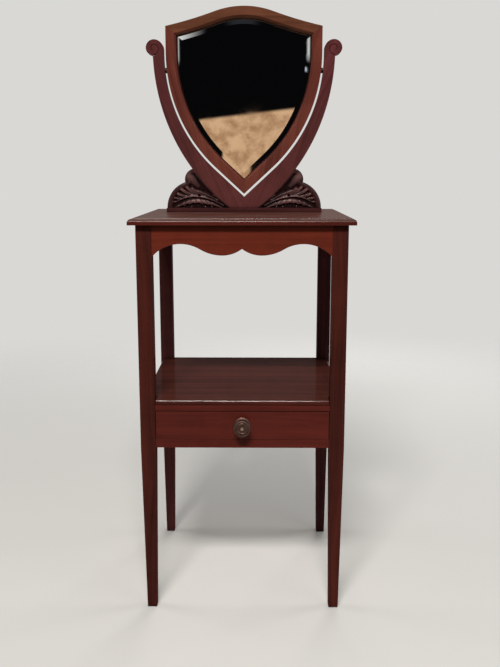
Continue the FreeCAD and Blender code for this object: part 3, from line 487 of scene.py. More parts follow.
@dataclass(frozen=True)
class Brass(Finish):
    """Old brass, dull and brown where it isn't handled and brighter on its edges.

    Attributes:
        name: the material's name.
        bright: colour where it is rubbed.
        dull: colour where it isn't.
        boss: radius of the knob's middle that is painted bright, as handled wear and a painted highlight, or
            0 where there is none.
        centre: the middle of the knob.
    """

    name: str = "dull_brass"
    bright: Colour = tone(140, 109, 98)
    dull: Colour = tone(66, 48, 43)
    boss: float = 0.0
    centre: Point = (0.0, 0.0, 0.0)

    # Colour of the dirt and painted shade in the brass's recesses.
    GRIME_AND_SHADE: ClassVar[Colour] = tone(26, 17, 15)
    HANDLED_AND_HIGHLIT: ClassVar[Colour] = tone(164, 142, 126)
    CLOUDS: ClassVar[float] = 180.0
    SPECKS: ClassVar[float] = 900.0
    EDGE_REACH: ClassVar[float] = 1.2 * MM
    GRIME_AND_SHADE_REACH: ClassVar[float] = 3 * MM
    RELIEF: ClassVar[float] = 0.03 * MM

    def paint(self, shader: Shader) -> None:
        """Fills the node tree of the material.

        Args:
            shader: the material's own shader, still empty.
        """
        place = shader.place()
        cloud = shader.noise(place, self.CLOUDS, 4.0, 0.6)
        specks = shader.step(shader.noise(place, self.SPECKS), 0.55, 0.7)
        edges = shader.worn_edges(self.EDGE_REACH)
        clean = shader.step(cloud, 0.3, 0.75) * 0.3 + edges * 0.6
        colour = shader.mix(clean, self.dull, self.bright)
        colour = shader.mix(specks * 0.3, colour, self.dull)
        # Recesses darken, partly as dirt and partly as painted shade, found by ambient occlusion.
        colour = shader.mix(shader.recesses(self.GRIME_AND_SHADE_REACH) * 0.8, colour, self.GRIME_AND_SHADE)
        # The knob's middle is painted bright: partly handled wear, partly a painted highlight.
        if self.boss:
            off = shader.vector("SUBTRACT", place, self.centre)
            off = shader.vector("LENGTH", shader.vector("MULTIPLY", off, (1, 0, 1)), (0, 0, 0), out=1)
            colour = shader.mix(shader.step(off, self.boss, self.boss * 0.4) * 0.85, colour, self.HANDLED_AND_HIGHLIT)
        roughness = 0.5 - clean * 0.16 + specks * 0.1
        shader.finish({}, {"Base Color": colour, "Metallic": 1.0 - specks * 0.2, "Roughness": roughness},
                      cloud - specks * 0.4, self.RELIEF)


@dataclass(frozen=True)
class Steel(Finish):
    """Dull screws and pins with a brown bloom.

    Attributes:
        name: the material's name.
        metal: colour of the clean metal.
        bloom: colour of the bloom.
    """

    name: str = "dull_steel"
    metal: Colour = tone(120, 116, 110)
    bloom: Colour = tone(74, 52, 40)

    CLOUDS: ClassVar[float] = 420.0
    RELIEF: ClassVar[float] = 0.05 * MM

    def paint(self, shader: Shader) -> None:
        """Fills the node tree of the material.

        Args:
            shader: the material's own shader, still empty.
        """
        cloud = shader.noise(shader.place(), self.CLOUDS, 4.0, 0.65)
        rust = shader.step(cloud, 0.5, 0.68)
        colour = shader.mix(rust, self.metal, self.bloom)
        roughness = 0.38 + rust * 0.3
        shader.finish({}, {"Base Color": colour, "Metallic": 1.0 - rust * 0.6, "Roughness": roughness},
                      cloud, self.RELIEF)


@dataclass(frozen=True)
class SilveredGlass(Finish):
    """A looking glass with faint clouding of its silver.

    Attributes:
        name: the material's name.
        silver: colour of the clear silver.
        cloudy: colour of its clouded spots.
    """

    name: str = "silvered_glass"
    silver: Colour = tone(226, 230, 228)
    cloudy: Colour = tone(150, 148, 140)

    SPOTS: ClassVar[float] = 90.0
    FILM: ClassVar[float] = 16.0

    def paint(self, shader: Shader) -> None:
        """Fills the node tree of the material.

        Args:
            shader: the material's own shader, still empty.
        """
        place = shader.place()
        spots = shader.step(shader.noise(place, self.SPOTS, 3.0, 0.7), 0.72, 0.84)
        film = shader.step(shader.noise(place, self.FILM, 3.0, 0.6), 0.45, 0.8)
        colour = shader.mix(spots * 0.4, self.silver, self.cloudy)
        roughness = 0.012 + film * 0.03 + spots * 0.05
        shader.finish({"Specular IOR Level": 0.5},
                      {"Base Color": colour, "Metallic": 1.0 - spots * 0.06, "Roughness": roughness})


DARK_BRASS = Brass("dark_brass", tone(92, 68, 56), tone(40, 29, 25))
BARE_PINE = {"stain": Stain.PINE, "rough": 0.62, "polish": 0.0}


# Stage


@dataclass
class Lamp:
    """A soft studio lamp.

    Attributes:
        name: the lamp's name.
        place: where it hangs.
        face: width and length of its face.
        power: its power in watts.
        colour: the colour of its light.
        mirrored: whether polished surfaces show it.
        aim: the point it shines at.
    """

    name: str
    place: Point
    face: Pair
    power: float
    colour: tuple[float, float, float]
    mirrored: bool = True
    aim: Point = (0.0, 0.0, 0.6)

    def hang(self, unlit: bpy.types.Collection) -> None:
        """Puts the lamp in the scene.

        Args:
            unlit: the pieces that are kept out of its light.
        """
        light = bpy.data.lights.new(self.name, "AREA")
        light.shape = "RECTANGLE"
        light.size, light.size_y = self.face
        light.energy = self.power
        light.color = self.colour
        lamp = bpy.data.objects.new(self.name, light)
        lamp.location = self.place
        lamp.rotation_euler = (Vector(self.aim) - Vector(self.place)).to_track_quat("-Z", "Y").to_euler()
        lamp.visible_camera = False
        lamp.visible_glossy = self.mirrored
        lamp.light_linking.receiver_collection = unlit
        show(lamp)


@dataclass
class ReflectedCard:
    """A plain card behind the camera that only reflections see.

    Attributes:
        name: the card's name.
        low: its lower left corner, across and up.
        high: its upper right corner.
        colour: its colour.
        level: its brightness.
        soft: width of the fade along its upright edges, and along its upper and lower ones.
        slant: rise of its upper and lower edges per metre to the right.
        mottle: a second colour that clouds the first.
        depth: where it hangs, from front to back.
    """

    name: str
    low: Pair
    high: Pair
    colour: Colour
    level: float
    soft: Pair
    slant: float = 0.0
    mottle: Optional[Colour] = None
    depth: float = -2.58

    CLOUDS: ClassVar[float] = 16.0

    def hang(self) -> None:
        """Puts the card in the scene as part of the stage."""
        (left, bottom), (right, top) = self.low, self.high
        outline = ((left, bottom), (right, bottom), (right, top), (left, top))
        points = [(across, self.depth, up + self.slant * across) for across, up in outline]
        mesh = bpy.data.meshes.new(self.name)
        mesh.from_pydata(points, [], [(0, 1, 2, 3)])
        mesh.materials.append(self._paint())
        card = bpy.data.objects.new(self.name, mesh)
        for ray in ("camera", "diffuse", "transmission", "shadow"):
            setattr(card, f"visible_{ray}", False)
        show(card)

    def _paint(self) -> bpy.types.Material:
        """Makes the card's paint.

        Returns:
            A glowing material that fades out at the card's edges.
        """
        (left, bottom), (right, top) = self.low, self.high
        beside, above = self.soft
        paint = bpy.data.materials.new(self.name)
        paint.use_nodes = True
        shader = Shader(paint.node_tree)
        place = shader.place()
        colour: Value = self.colour
        if self.mottle:
            cloud = shader.noise(place, self.CLOUDS, 3.0, 0.6)
            colour = shader.mix(shader.step(cloud, 0.35, 0.7), self.colour, self.mottle)
        glow = shader.add("ShaderNodeEmission", sockets={"Color": colour, "Strength": self.level})
        across = shader.add("ShaderNodeSeparateXYZ", sockets={0: place}, out="X")
        up = shader.add("ShaderNodeSeparateXYZ", sockets={0: place}, out="Z") - across * self.slant
        inside = shader.step(across, left, left + beside) * shader.step(across, right, right - beside)
        inside = inside * shader.step(up, bottom, bottom + above) * shader.step(up, top, top - above)
        shader.fade(inside, shader.add("ShaderNodeBsdfTransparent"), glow)
        return paint


@dataclass
class Studio:
    """Pale floor, soft light and the camera.

    Attributes:
        pale: colour of the background and of the light from all round.
        ground: colour of the floor.
        mottle: colour that clouds the floor.
        ambient: level of the light from all round.
        background: level of the background as it is seen.
        floor_radius: radius of the floor.
        clear_radius: radius inside which the floor is full.
        eye: the camera's place.
        pitch: degrees by which it looks down.
        turn: degrees by which it looks to the left.
        focal: its focal length in pixels of the image.
    """

    pale: Colour = tone(217, 216, 213)
    ground: Colour = tone(198, 197, 194)
    mottle: Colour = tone(172, 170, 165)
    ambient: float = 0.11
    background: float = 1.0
    floor_radius: float = 3.2
    clear_radius: float = 0.7
    eye: Point = (0.0288, -1.6847, 0.8438)
    pitch: float = 11.008
    turn: float = 0.545
    focal: float = 824.33

    FLOOR_SIDES: ClassVar[int] = 96
    FLOOR_CLOUDS: ClassVar[float] = 3.0
    FLOOR_END: ClassVar[float] = 0.9

    def build(self) -> None:
        """Makes the whole stage."""
        self._floor()
        self._world()
        self._camera()
        unlit = self._unlit_glass()
        for lamp in (
            Lamp("key_lamp", (-0.25, -2.4, 2.8), (1.2, 0.4), 128, (1.0, 0.97, 0.93)),
            Lamp("fill_lamp", (2.4, -2.2, 1.6), (1.6, 1.6), 14, (0.95, 0.97, 1.0)),
            Lamp("right_lamp", (3.0, 0.6, 0.9), (1.4, 1.2), 44, (0.98, 0.99, 1.0), False),
            Lamp("left_lamp", (-3.0, 0.6, 0.9), (1.4, 1.2), 40, (1.0, 0.99, 0.97), False),
            Lamp("back_lamp", (0.6, 3.0, 1.3), (1.8, 1.4), 66, (1.0, 0.99, 0.97), False, (0, 0, 0.7)),
        ):
            lamp.hang(unlit)
        black, white, cool = (0.0025, 0.0025, 0.003, 1.0), (1.0, 0.99, 0.97, 1.0), (0.8, 0.85, 1.0, 1.0)
        warm, rust = (0.8, 0.49, 0.28, 1.0), (0.48, 0.25, 0.13, 1.0)
        for card in (
            ReflectedCard("dark_card", (-1.9, -0.3), (1.9, 3.2), black, 1.0, (0.4, 0.4), depth=-2.6),
            ReflectedCard("crest_card", (-0.8, 2.06), (-0.45, 2.34), white, 1.0, (0.14, 0.1)),
            ReflectedCard("sheen_card", (-0.36, 2.22), (0.22, 2.4), cool, 0.03, (0.2, 0.08)),
            ReflectedCard("left_card", (-1.086, 1.32), (-1.062, 1.62), white, 0.5, (0.01, 0.1)),
            ReflectedCard("right_card", (0.956, 1.36), (0.982, 1.62), white, 0.7, (0.012, 0.1)),
            ReflectedCard("right_spot", (0.94, 1.27), (0.96, 1.34), cool, 0.7, (0.008, 0.03)),
            ReflectedCard("low_card", (-0.64, 0.08), (0.45, 1.155), warm, 1.0, (0.02, 0.02), 0.115, rust),
        ):
            card.hang()
        bpy.context.scene.view_settings.view_transform = "Standard"
        LOG.info("stage ready")

    @staticmethod
    def _unlit_glass() -> bpy.types.Collection:
        """Sets the looking glass apart, so that it doesn't throw the lamps' light on to the other pieces.

        Returns:
            A collection with the one piece that the lamps leave out.
        """
        unlit = bpy.data.collections.new("unlit_glass")
        unlit.objects.link(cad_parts["mirror_glass"])
        for entry in unlit.collection_objects:
            entry.light_linking.link_state = "EXCLUDE"
        return unlit

    def _floor(self) -> None:
        """A round floor that fades into the background."""
        mesh = bpy.data.meshes.new("floor")
        shape = bmesh.new()
        bmesh.ops.create_circle(shape, cap_ends=True, segments=self.FLOOR_SIDES, radius=self.floor_radius)
        shape.to_mesh(mesh)
        shape.free()
        floor = bpy.data.objects.new("floor", mesh)
        show(floor)
        paint = bpy.data.materials.new("pale_floor")
        paint.use_nodes = True
        shader = Shader(paint.node_tree)
        place = shader.place()
        far = shader.vector("LENGTH", place, (0, 0, 0), out=1)
        cloud = shader.noise(place, self.FLOOR_CLOUDS, 4.0, 0.6)
        colour = shader.mix(cloud * 0.1, self.ground, self.mottle)
        ground = shader.add("ShaderNodeBsdfPrincipled", sockets={
            "Base Color": colour, "Roughness": 0.75, "Specular IOR Level": 0.2})
        gone = shader.step(far, self.clear_radius, self.floor_radius * self.FLOOR_END)
        shader.fade(gone, ground, shader.add("ShaderNodeBsdfTransparent"))
        mesh.materials.append(paint)

    def _world(self) -> None:
        """Even light from all round, with a pale background for the camera, mirrors and metal."""
        world = bpy.data.worlds.new("studio")
        world.use_nodes = True
        bpy.context.scene.world = world
        shader = Shader(world.node_tree)
        rays = [shader.add("ShaderNodeLightPath", out=kind)
                for kind in ("Is Camera Ray", "Is Glossy Ray", "Is Transmission Ray")]
        seen = shader.add("ShaderNodeClamp", sockets={0: rays[0] + rays[1] + rays[2]})
        sky = shader.add("ShaderNodeBackground", sockets={
            "Color": self.pale, "Strength": self.ambient + seen * (self.background - self.ambient)})
        shader.add("ShaderNodeOutputWorld", sockets={"Surface": sky})

    def _camera(self) -> None:
        """The camera at the photograph's viewing angle."""
        lens = bpy.data.cameras.new("camera")
        lens.sensor_width = SENSOR
        lens.lens = self.focal / IMAGE_HEIGHT * SENSOR
        camera = bpy.data.objects.new("camera", lens)
        camera.location = self.eye
        camera.rotation_euler = Euler((math.radians(90 - self.pitch), 0, math.radians(self.turn)))
        show(camera)
        bpy.context.scene.camera = camera


# The washstand


class Assembly:
    """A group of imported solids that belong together.

    Attributes:
        JOINED: distance up to which points are taken as one before rounding.
        FLAT: angle up to which neighbouring faces are taken as one.
        SHARP: angle over which an edge is rounded or kept sharp.
    """

    JOINED: ClassVar[float] = 0.12 * MM
    FLAT: ClassVar[float] = math.radians(0.05)
    SHARP: ClassVar[float] = math.radians(28)

    def dress(self, names: Iterable[str], finish: Finish, edge_mm: float = 0.0, rounds: int = 2,
              short_mm: float = 1.5) -> None:
        """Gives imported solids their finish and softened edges.

        Args:
            names: the solids' names.
            finish: the finish that they get.
            edge_mm: how far their edges are rounded off.
            rounds: facets of the rounding.
            short_mm: length up to which an edge stays sharp, as round small holes.
        """
        for name in names:
            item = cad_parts[name]
            if not item.material_slots:
                item.data.materials.append(None)
            for slot in item.material_slots:
                slot.material = finish.material()
            if edge_mm:
                self._soften(item, edge_mm * MM, rounds, self._edge_marks(short_mm))
            LOG.info("%s: %s", name, finish.name)

    @classmethod
    def _soften(cls, item: bpy.types.Object, width: float, rounds: int, marks: bpy.types.NodeTree) -> None:
        """Rounds off a solid's edges with modifiers, which leave its own mesh as it is.

        Args:
            item: the solid's object.
            width: how far its edges are rounded off, in metres.
            rounds: facets of the rounding.
            marks: node group that marks the edges to be rounded.
        """
        for name, kind, settings in (
            ("weld", "WELD", {"merge_threshold": cls.JOINED}),
            ("join_flats", "DECIMATE", {"decimate_type": "DISSOLVE", "angle_limit": cls.FLAT}),
            ("mark_edges", "NODES", {"node_group": marks}),
            ("soft_edges", "BEVEL", {"width": width, "segments": rounds, "limit_method": "WEIGHT",
                                     "use_clamp_overlap": False, "harden_normals": True}),
            ("even_light", "WEIGHTED_NORMAL", {"keep_sharp": True}),
        ):
            modifier = item.modifiers.new(name, kind)
            for key, setting in settings.items():
                setattr(modifier, key, setting)

    @classmethod
    def _edge_marks(cls, short_mm: float) -> bpy.types.NodeTree:
        """Makes the marks for the edges of a solid.

        Args:
            short_mm: length up to which an edge stays sharp.

        Returns:
            A node group that marks the longer sharp edges for rounding and keeps the others sharp.
        """
        name = f"mark_edges_over_{short_mm}_mm"
        group = bpy.data.node_groups.get(name)
        if group is None:
            group = bpy.data.node_groups.new(name, "GeometryNodeTree")
            for way in ("INPUT", "OUTPUT"):
                group.interface.new_socket("Solid", in_out=way, socket_type="NodeSocketGeometry")
            nodes = Shader(group)
            ends = [nodes.add("GeometryNodeInputMeshEdgeVertices", out=f"Position {end}") for end in (1, 2)]
            long = nodes.vector("DISTANCE", *ends, out=1) > short_mm * MM
            sharp = nodes.add("GeometryNodeInputMeshEdgeAngle", out="Unsigned Angle") > cls.SHARP
            marked = nodes.add("GeometryNodeStoreNamedAttribute", {"data_type": "FLOAT", "domain": "EDGE"}, {
                "Geometry": nodes.add("NodeGroupInput"), "Name": "bevel_weight_edge", "Value": sharp * long})
            kept = nodes.add("GeometryNodeSetShadeSmooth", {"domain": "EDGE"}, {
                "Geometry": marked, "Selection": sharp * (1 - long), "Shade Smooth": False})
            nodes.add("NodeGroupOutput", sockets={0: kept})
        return group


@dataclass
class Carcase(Assembly):
    """Legs, rails, top, shelf and drawer case.

    Attributes:
        leg_edge_mm: rounding of the legs' edges.
        leg_rounds: facets of that rounding.
        leg_log: metres of log between one leg and the next.
        top_edge_mm: rounding of the top's edges, under half the height of its quirk.
        top_short_mm: length up to which the top's edges stay sharp.
        nosing_mm: rounding of the shelf's edges.
        nosing_rounds: facets of that rounding.
        nosing_short_mm: length up to which the shelf's edges stay sharp.
        rail_edge_mm: rounding of rails, panels and runners.
        shade_mm: how far the painted shadow under the top's overhang, with some dirt, spreads down the apron.
    """

    leg_edge_mm: float = 1.1
    leg_rounds: int = 3
    leg_log: float = 0.7
    top_edge_mm: float = 0.45
    top_short_mm: float = 0.9
    nosing_mm: float = 2.2
    nosing_rounds: int = 4
    nosing_short_mm: float = 0.5
    rail_edge_mm: float = 0.6
    shade_mm: float = 28.0

    def build(self) -> None:
        """Dresses the carcase."""
        legs = ("front_left_leg", "front_right_leg", "back_left_leg", "back_right_leg")
        for number, name in enumerate(legs):
            # The back legs take the duller DUSKY stain as painted shade, for the shadow they stand in under
            # the top and shelf.
            stain = Stain.DUSKY if name.startswith("back") else Stain.DEEP
            wood = Wood(f"{name}_mahogany", Grain.ALONG_Z, stain, cut=self.leg_log * number, polish=0.03)
            self.dress([name], wood, self.leg_edge_mm, self.leg_rounds)
        # The top's bloom also paints the sheen of its grazing reflection.
        wood = Wood("top_mahogany", Grain.ALONG_X, Stain.PLAIN, cut=5.1, polish=0.2, dulled=0.24,
                    nosing=0.04, bloom=0.3)
        self.dress(["top_board"], wood, self.top_edge_mm, short_mm=self.top_short_mm)
        # The apron's darkening reaches far down under the top's overhang: a painted shadow, with some dirt.
        wood = Wood("apron_mahogany", Grain.ALONG_X, Stain.WARM, cut=6.3, grime_and_shade=0.8,
                    grime_and_shade_reach=self.shade_mm * MM)
        self.dress(["front_apron"], wood, self.rail_edge_mm)
        wood = Wood("rail_mahogany", Grain.ALONG_X, Stain.PLAIN, cut=7.2)
        self.dress(["drawer_top_rail", "drawer_bottom_rail", "back_top_rail", "back_panel"],
                   wood, self.rail_edge_mm)
        wood = Wood("side_mahogany", Grain.ALONG_Y, Stain.PLAIN, cut=8.4)
        self.dress(["left_top_rail", "right_top_rail", "left_side_panel", "right_side_panel"],
                   wood, self.rail_edge_mm)
        wood = Wood("shelf_mahogany", Grain.ALONG_X, Stain.DEEP, cut=9.6, polish=0.05, nosing=0.75,
                    bloom=0.06)
        self.dress(["shelf_board"], wood, self.nosing_mm, self.nosing_rounds, self.nosing_short_mm)
        wood = Wood("runner_pine", Grain.ALONG_Y, cut=1.3, **BARE_PINE)
        self.dress(["left_drawer_runner", "right_drawer_runner", "left_drawer_guide", "right_drawer_guide",
                    "left_drawer_kicker", "right_drawer_kicker", "drawer_stops", "top_glue_blocks"],
                   wood, self.rail_edge_mm)


@dataclass
class Drawer(Assembly):
    """The dovetailed drawer and its knob.

    Attributes:
        front_edge_mm: rounding of the front's edges.
        lining_edge_mm: rounding of the sides, back and bottom.
        dovetail_mm: length up to which the sides' edges stay sharp, as round their dovetails.
        boss_mm: radius of the knob's middle that is painted bright, as rubbed wear and a painted highlight.
    """

    front_edge_mm: float = 0.8
    lining_edge_mm: float = 0.4
    dovetail_mm: float = 20.0
    boss_mm: float = 3.6

    def build(self) -> None:
        """Dresses the drawer."""
        wood = Wood("drawer_mahogany", Grain.ALONG_X, Stain.PLAIN, cut=3.4)
        self.dress(["drawer_front"], wood, self.front_edge_mm)
        wood = Wood("drawer_side_pine", Grain.ALONG_Y, **BARE_PINE)
        self.dress(["drawer_left_side", "drawer_right_side"], wood, self.lining_edge_mm,
                   short_mm=self.dovetail_mm)
        wood = Wood("drawer_lining_pine", Grain.ALONG_X, cut=2.2, **BARE_PINE)
        self.dress(["drawer_back", "drawer_bottom"], wood, self.lining_edge_mm)
        self.dress(["drawer_bottom_pins"], Steel())
        low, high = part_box("knob")
        self.dress(["knob"], Brass("knob_brass", boss=self.boss_mm * MM, centre=tuple((low + high) / 2)))
        self.dress(["knob_rose", "knob_nut"], Brass())


def smooth(share: np.ndarray) -> np.ndarray:
    """Eases shares from 0 to 1, so that they start and end level."""
    return share * share * (3 - 2 * share)


@dataclass(frozen=True)
class Lobe:
    """One lobe of the carved leaf: a rounded ridge along a bent line.

    Attributes:
        root: where it leaves the rib, in mm from the middle of the stand and above the plinth.
        bend: the point that its line bends towards.
        tip: where it ends.
        half_width: half its width at its widest, in mm.
        rise: height of its crown above the ground, in mm.
        vein: depth of the groove along its middle, in mm.
        root_share: its width at the root as a share of its widest.
        STEPS: points along its line.
        VEIN_WIDTH: half the groove's width, in mm.
        WIDEST: share of its length at which it is widest.
        ROOT_LIFT: its height at the root as a share of the crown's.
        VEIN_END: share of its length without a groove, at each end.
    """

    root: Pair
    bend: Pair
    tip: Pair
    half_width: float
    rise: float
    vein: float = 0.9
    root_share: float = 0.45

    STEPS: ClassVar[int] = 40
    VEIN_WIDTH: ClassVar[float] = 0.9
    WIDEST: ClassVar[float] = 0.7
    ROOT_LIFT: ClassVar[float] = 0.6
    VEIN_END: ClassVar[float] = 0.05

    def height(self, spots: np.ndarray) -> np.ndarray:
        """Height of the lobe over the ground.

        Args:
            spots: points of the front face, in mm from the middle and above the plinth.

        Returns:
            The height at each point, in mm, and 0 beside the lobe.
        """
        along = np.linspace(0, 1, self.STEPS)[:, None]
        root, bend, tip = (np.array(point) for point in (self.root, self.bend, self.tip))
        line = (1 - along) ** 2 * root + 2 * along * (1 - along) * bend + along ** 2 * tip
        swell = smooth(np.clip(along[:, 0] / self.WIDEST, 0, 1))
        width = self.half_width * (self.root_share + (1 - self.root_share) * swell)
        apart = np.linalg.norm(spots[:, None, :] - line[None, :, :], axis=2)
        nearest = np.argmin(apart / width, axis=1)
        off = apart[np.arange(len(spots)), nearest]
        share = np.clip(off / width[nearest], 0, 1)
        reach = along[nearest, 0]
        crown = self.rise * (self.ROOT_LIFT + (1 - self.ROOT_LIFT) * reach) * np.sqrt(1 - share ** 2)
        fade = np.sin(np.pi * np.clip(reach, self.VEIN_END, 1 - self.VEIN_END))
        groove = self.vein * np.exp(-(off / self.VEIN_WIDTH) ** 2) * fade
        return np.where(share < 1, np.maximum(crown - groove, 0), 0)


@dataclass
class CarvedWing:
    """A lobed wing with a carved leaf inside a plain rolled border.

    Attributes:
        node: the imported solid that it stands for.
        name: the piece's name.
        grid_mm: spacing of the carved face's mesh.
        ground_mm: depth of the ground behind the face.
        border_mm: width of the rolled border.
        edge_mm: depth of the border's outer edge behind the face.
        eye_mm: radius of the drilled eyes.
        drill_mm: depth of the drilled eyes behind the ground.
        score_mm: width and depth of the scored lines that ruffle the lower band.
        seam_mm: width over which the carving rises to the flat beside the upright.
        CREASE: angle over which the carving's edges look sharp.
        CUT: distance within which a cut takes a point as lying on it.
        SIDEWAYS: how far an outer edge faces outwards, or an inner one inwards.
        UPWARD: how far an outer edge faces up where it doesn't face outwards.
        INWARD: how far such an edge may face inwards.
        BACKWARD: how far a face looks back where it has the back's finish.
        STEEP: how steep the sides of the drilled eyes are.
    """

    node: str
    name: str
    grid_mm: float = 0.9
    ground_mm: float = 5.0
    border_mm: float = 11.5
    edge_mm: float = 3.0
    eye_mm: float = 2.6
    drill_mm: float = 1.6
    score_mm: float = 1.1
    seam_mm: float = 7.0

    CREASE: ClassVar[float] = math.radians(40)
    CUT: ClassVar[float] = 1e-7
    SIDEWAYS: ClassVar[float] = 0.05
    UPWARD: ClassVar[float] = 0.6
    INWARD: ClassVar[float] = 0.3
    BACKWARD: ClassVar[float] = 0.5
    STEEP: ClassVar[float] = 2.5
    RIB: ClassVar[tuple[Lobe, ...]] = (
        Lobe((43, 4), (72, 23), (106, 24), 2.7, 4.6, 0, 0.5),
        Lobe((143, 11), (123, 23), (106, 24), 2.7, 4.6, 0, 0.6),
        Lobe((47, 0), (74, 12), (97, 14), 5.6, 4.8, 0, 0.4),
        Lobe((142, 1), (117, 13), (97, 14), 5.6, 4.8, 0, 0.45),
    )
    UPPER: ClassVar[tuple[Lobe, ...]] = (
        Lobe((36, 5), (39, 11), (46, 16), 2.4, 3.0, 0.5),
        Lobe((45, 14), (53, 21), (63, 25), 2.8, 3.8, 0.5),
        Lobe((54, 14), (76, 27), (98, 34), 3.2, 4.0, 0.6),
        Lobe((78, 22), (97, 28), (108, 39), 3.8, 4.2, 0.7),
        Lobe((90, 25), (108, 29), (119, 42), 4.2, 4.4, 0.7),
        Lobe((102, 25), (119, 28), (130, 38), 4.2, 4.6, 0.7),
        Lobe((114, 24), (127, 23), (137, 28), 3.7, 4.6, 0.6),
        Lobe((124, 20), (134, 17), (144, 20), 3.0, 3.8, 0.5),
        Lobe((133, 15), (140, 11), (148, 12), 2.6, 3.2, 0.4),
        Lobe((96, 44), (105, 53), (113, 65), 8.5, 4.4, 0, 0.6),
    )
    LOWER: ClassVar[tuple[Lobe, ...]] = (
        Lobe((76, 8), (72, 5), (66, 1), 2.0, 2.8, 0),
        Lobe((89, 10), (86, 6), (80, 1), 2.2, 3.2, 0),
        Lobe((103, 11), (107, 7), (110, 1), 2.2, 3.2, 0),
        Lobe((118, 9), (122, 6), (127, 1), 2.0, 2.8, 0),
    )
    EYES: ClassVar[tuple[Pair, ...]] = (
        (62, 1), (72, 3.5), (83, 6), (95, 7.5), (107, 7), (118, 5), (128, 1.5), (93, 25.5), (85, 35),
    )
    RUFFLES: ClassVar[tuple[tuple[Pair, Pair], ...]] = (
        ((71, 15), (65, 5)), ((81, 18), (76, 9)), ((91, 19.5), (87, 11)), ((101, 19.5), (100, 12)),
        ((111, 18.5), (113, 11)), ((121, 16), (125, 8)), ((131, 11), (135, 5)),
    )

    def build(self) -> bpy.types.Object:
        """Carves the wing.

        Returns:
            The finished piece, riding on the stand.
        """
        shape = bmesh.new()
        shape.from_mesh(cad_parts[self.node].data)
        shape.verts.layers.float.new("hollow")
        shape.verts.layers.float.new("crown")
        hollow, crown = shape.verts.layers.float["hollow"], shape.verts.layers.float["crown"]
        bmesh.ops.remove_doubles(shape, verts=shape.verts, dist=NEAR)
        face_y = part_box(self.node)[0].y
        front = [face for face in shape.faces if max(vert.co.y for vert in face.verts) < face_y + NEAR]
        face = bmesh.ops.dissolve_faces(shape, faces=front, use_verts=False)["region"][0]
        outer, inner = self._free_edges(face)
        self._divide(shape, face)
        carved = [vert for vert in shape.verts if vert.co.y < face_y + NEAR]
        for vert, deep, lightened in zip(carved, *self._depths(carved, outer, inner)):
            vert.co.y += deep * MM
            # Deep points get a dark share (dirt and painted shade), high crowns a pale share (wear and a
            # painted highlight).
            vert[hollow] = float(np.clip(deep / self.ground_mm, 0, 1)) ** 1.5
            vert[crown] = float(lightened)
        mesh = bpy.data.meshes.new(self.name)
        bmesh.ops.recalc_face_normals(shape, faces=shape.faces)
        for side in shape.faces:
            side.material_index = int(side.normal.y > self.BACKWARD)
        shape.to_mesh(mesh)
        shape.free()
        mesh.shade_smooth()
        mesh.set_sharp_from_angle(angle=self.CREASE)
        piece = bpy.data.objects.new(self.name, mesh)
        show(piece)
        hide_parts(self.node)
        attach(piece, "stand")
        return piece

    @classmethod
    def _free_edges(cls, face: bmesh.types.BMFace) -> tuple[np.ndarray, np.ndarray]:
        """Sorts the edges of the front face.

        Args:
            face: the whole front face.

        Returns:
            Ends of the outer edges and of those beside the upright, as (x, z) pairs in metres.
        """
        outer, inner = [], []
        centre = face.calc_center_median()
        away = 1 if centre.x > 0 else -1
        for loop in face.loops:
            here, there = loop.vert.co, loop.link_loop_next.vert.co
            run = there - here
            out = Vector((-run.z, 0, run.x)).normalized()
            if out.dot((here + there) / 2 - centre) < 0:
                out.negate()
            ends = ((here.x, here.z), (there.x, there.z))
            if out.x * away > cls.SIDEWAYS or (out.z > cls.UPWARD and out.x * away > -cls.INWARD):
                outer.append(ends)
            elif out.x * away < -cls.SIDEWAYS:
                inner.append(ends)
        return np.array(outer), np.array(inner)

    @staticmethod
    def _distance(spots: np.ndarray, edges: np.ndarray) -> np.ndarray:
        """Measures how far spots lie from edges.

        Args:
            spots: (x, z) pairs in metres.
            edges: the two ends of each edge, as such pairs.

        Returns:
            Distance in mm from each spot to the nearest edge.
        """
        start, run = edges[:, 0], edges[:, 1] - edges[:, 0]
        from_start = spots[:, None, :] - start[None]
        share = np.clip((from_start * run).sum(2) / np.maximum((run * run).sum(1), NEAR ** 2), 0, 1)
        return np.linalg.norm(from_start - share[:, :, None] * run, axis=2).min(1) / MM

    def _divide(self, shape: bmesh.types.BMesh, face: bmesh.types.BMFace) -> None:
        """Cuts the front face into a fine grid.

        Args:
            shape: the wing's mesh.
            face: the whole front face.
        """
        corners = [vert.co.copy() for vert in face.verts]
        parts = [face, *face.edges, *face.verts]
        for axis, across in ((0, Vector((1, 0, 0))), (2, Vector((0, 0, 1)))):
            low, high = min(corner[axis] for corner in corners), max(corner[axis] for corner in corners)
            count = round((high - low) / (self.grid_mm * MM))
            for place in np.linspace(low, high, count + 1)[1:-1]:
                cut = {"dist": self.CUT, "plane_co": across * float(place), "plane_no": across}
                parts = bmesh.ops.bisect_plane(shape, geom=parts, **cut)["geom"]

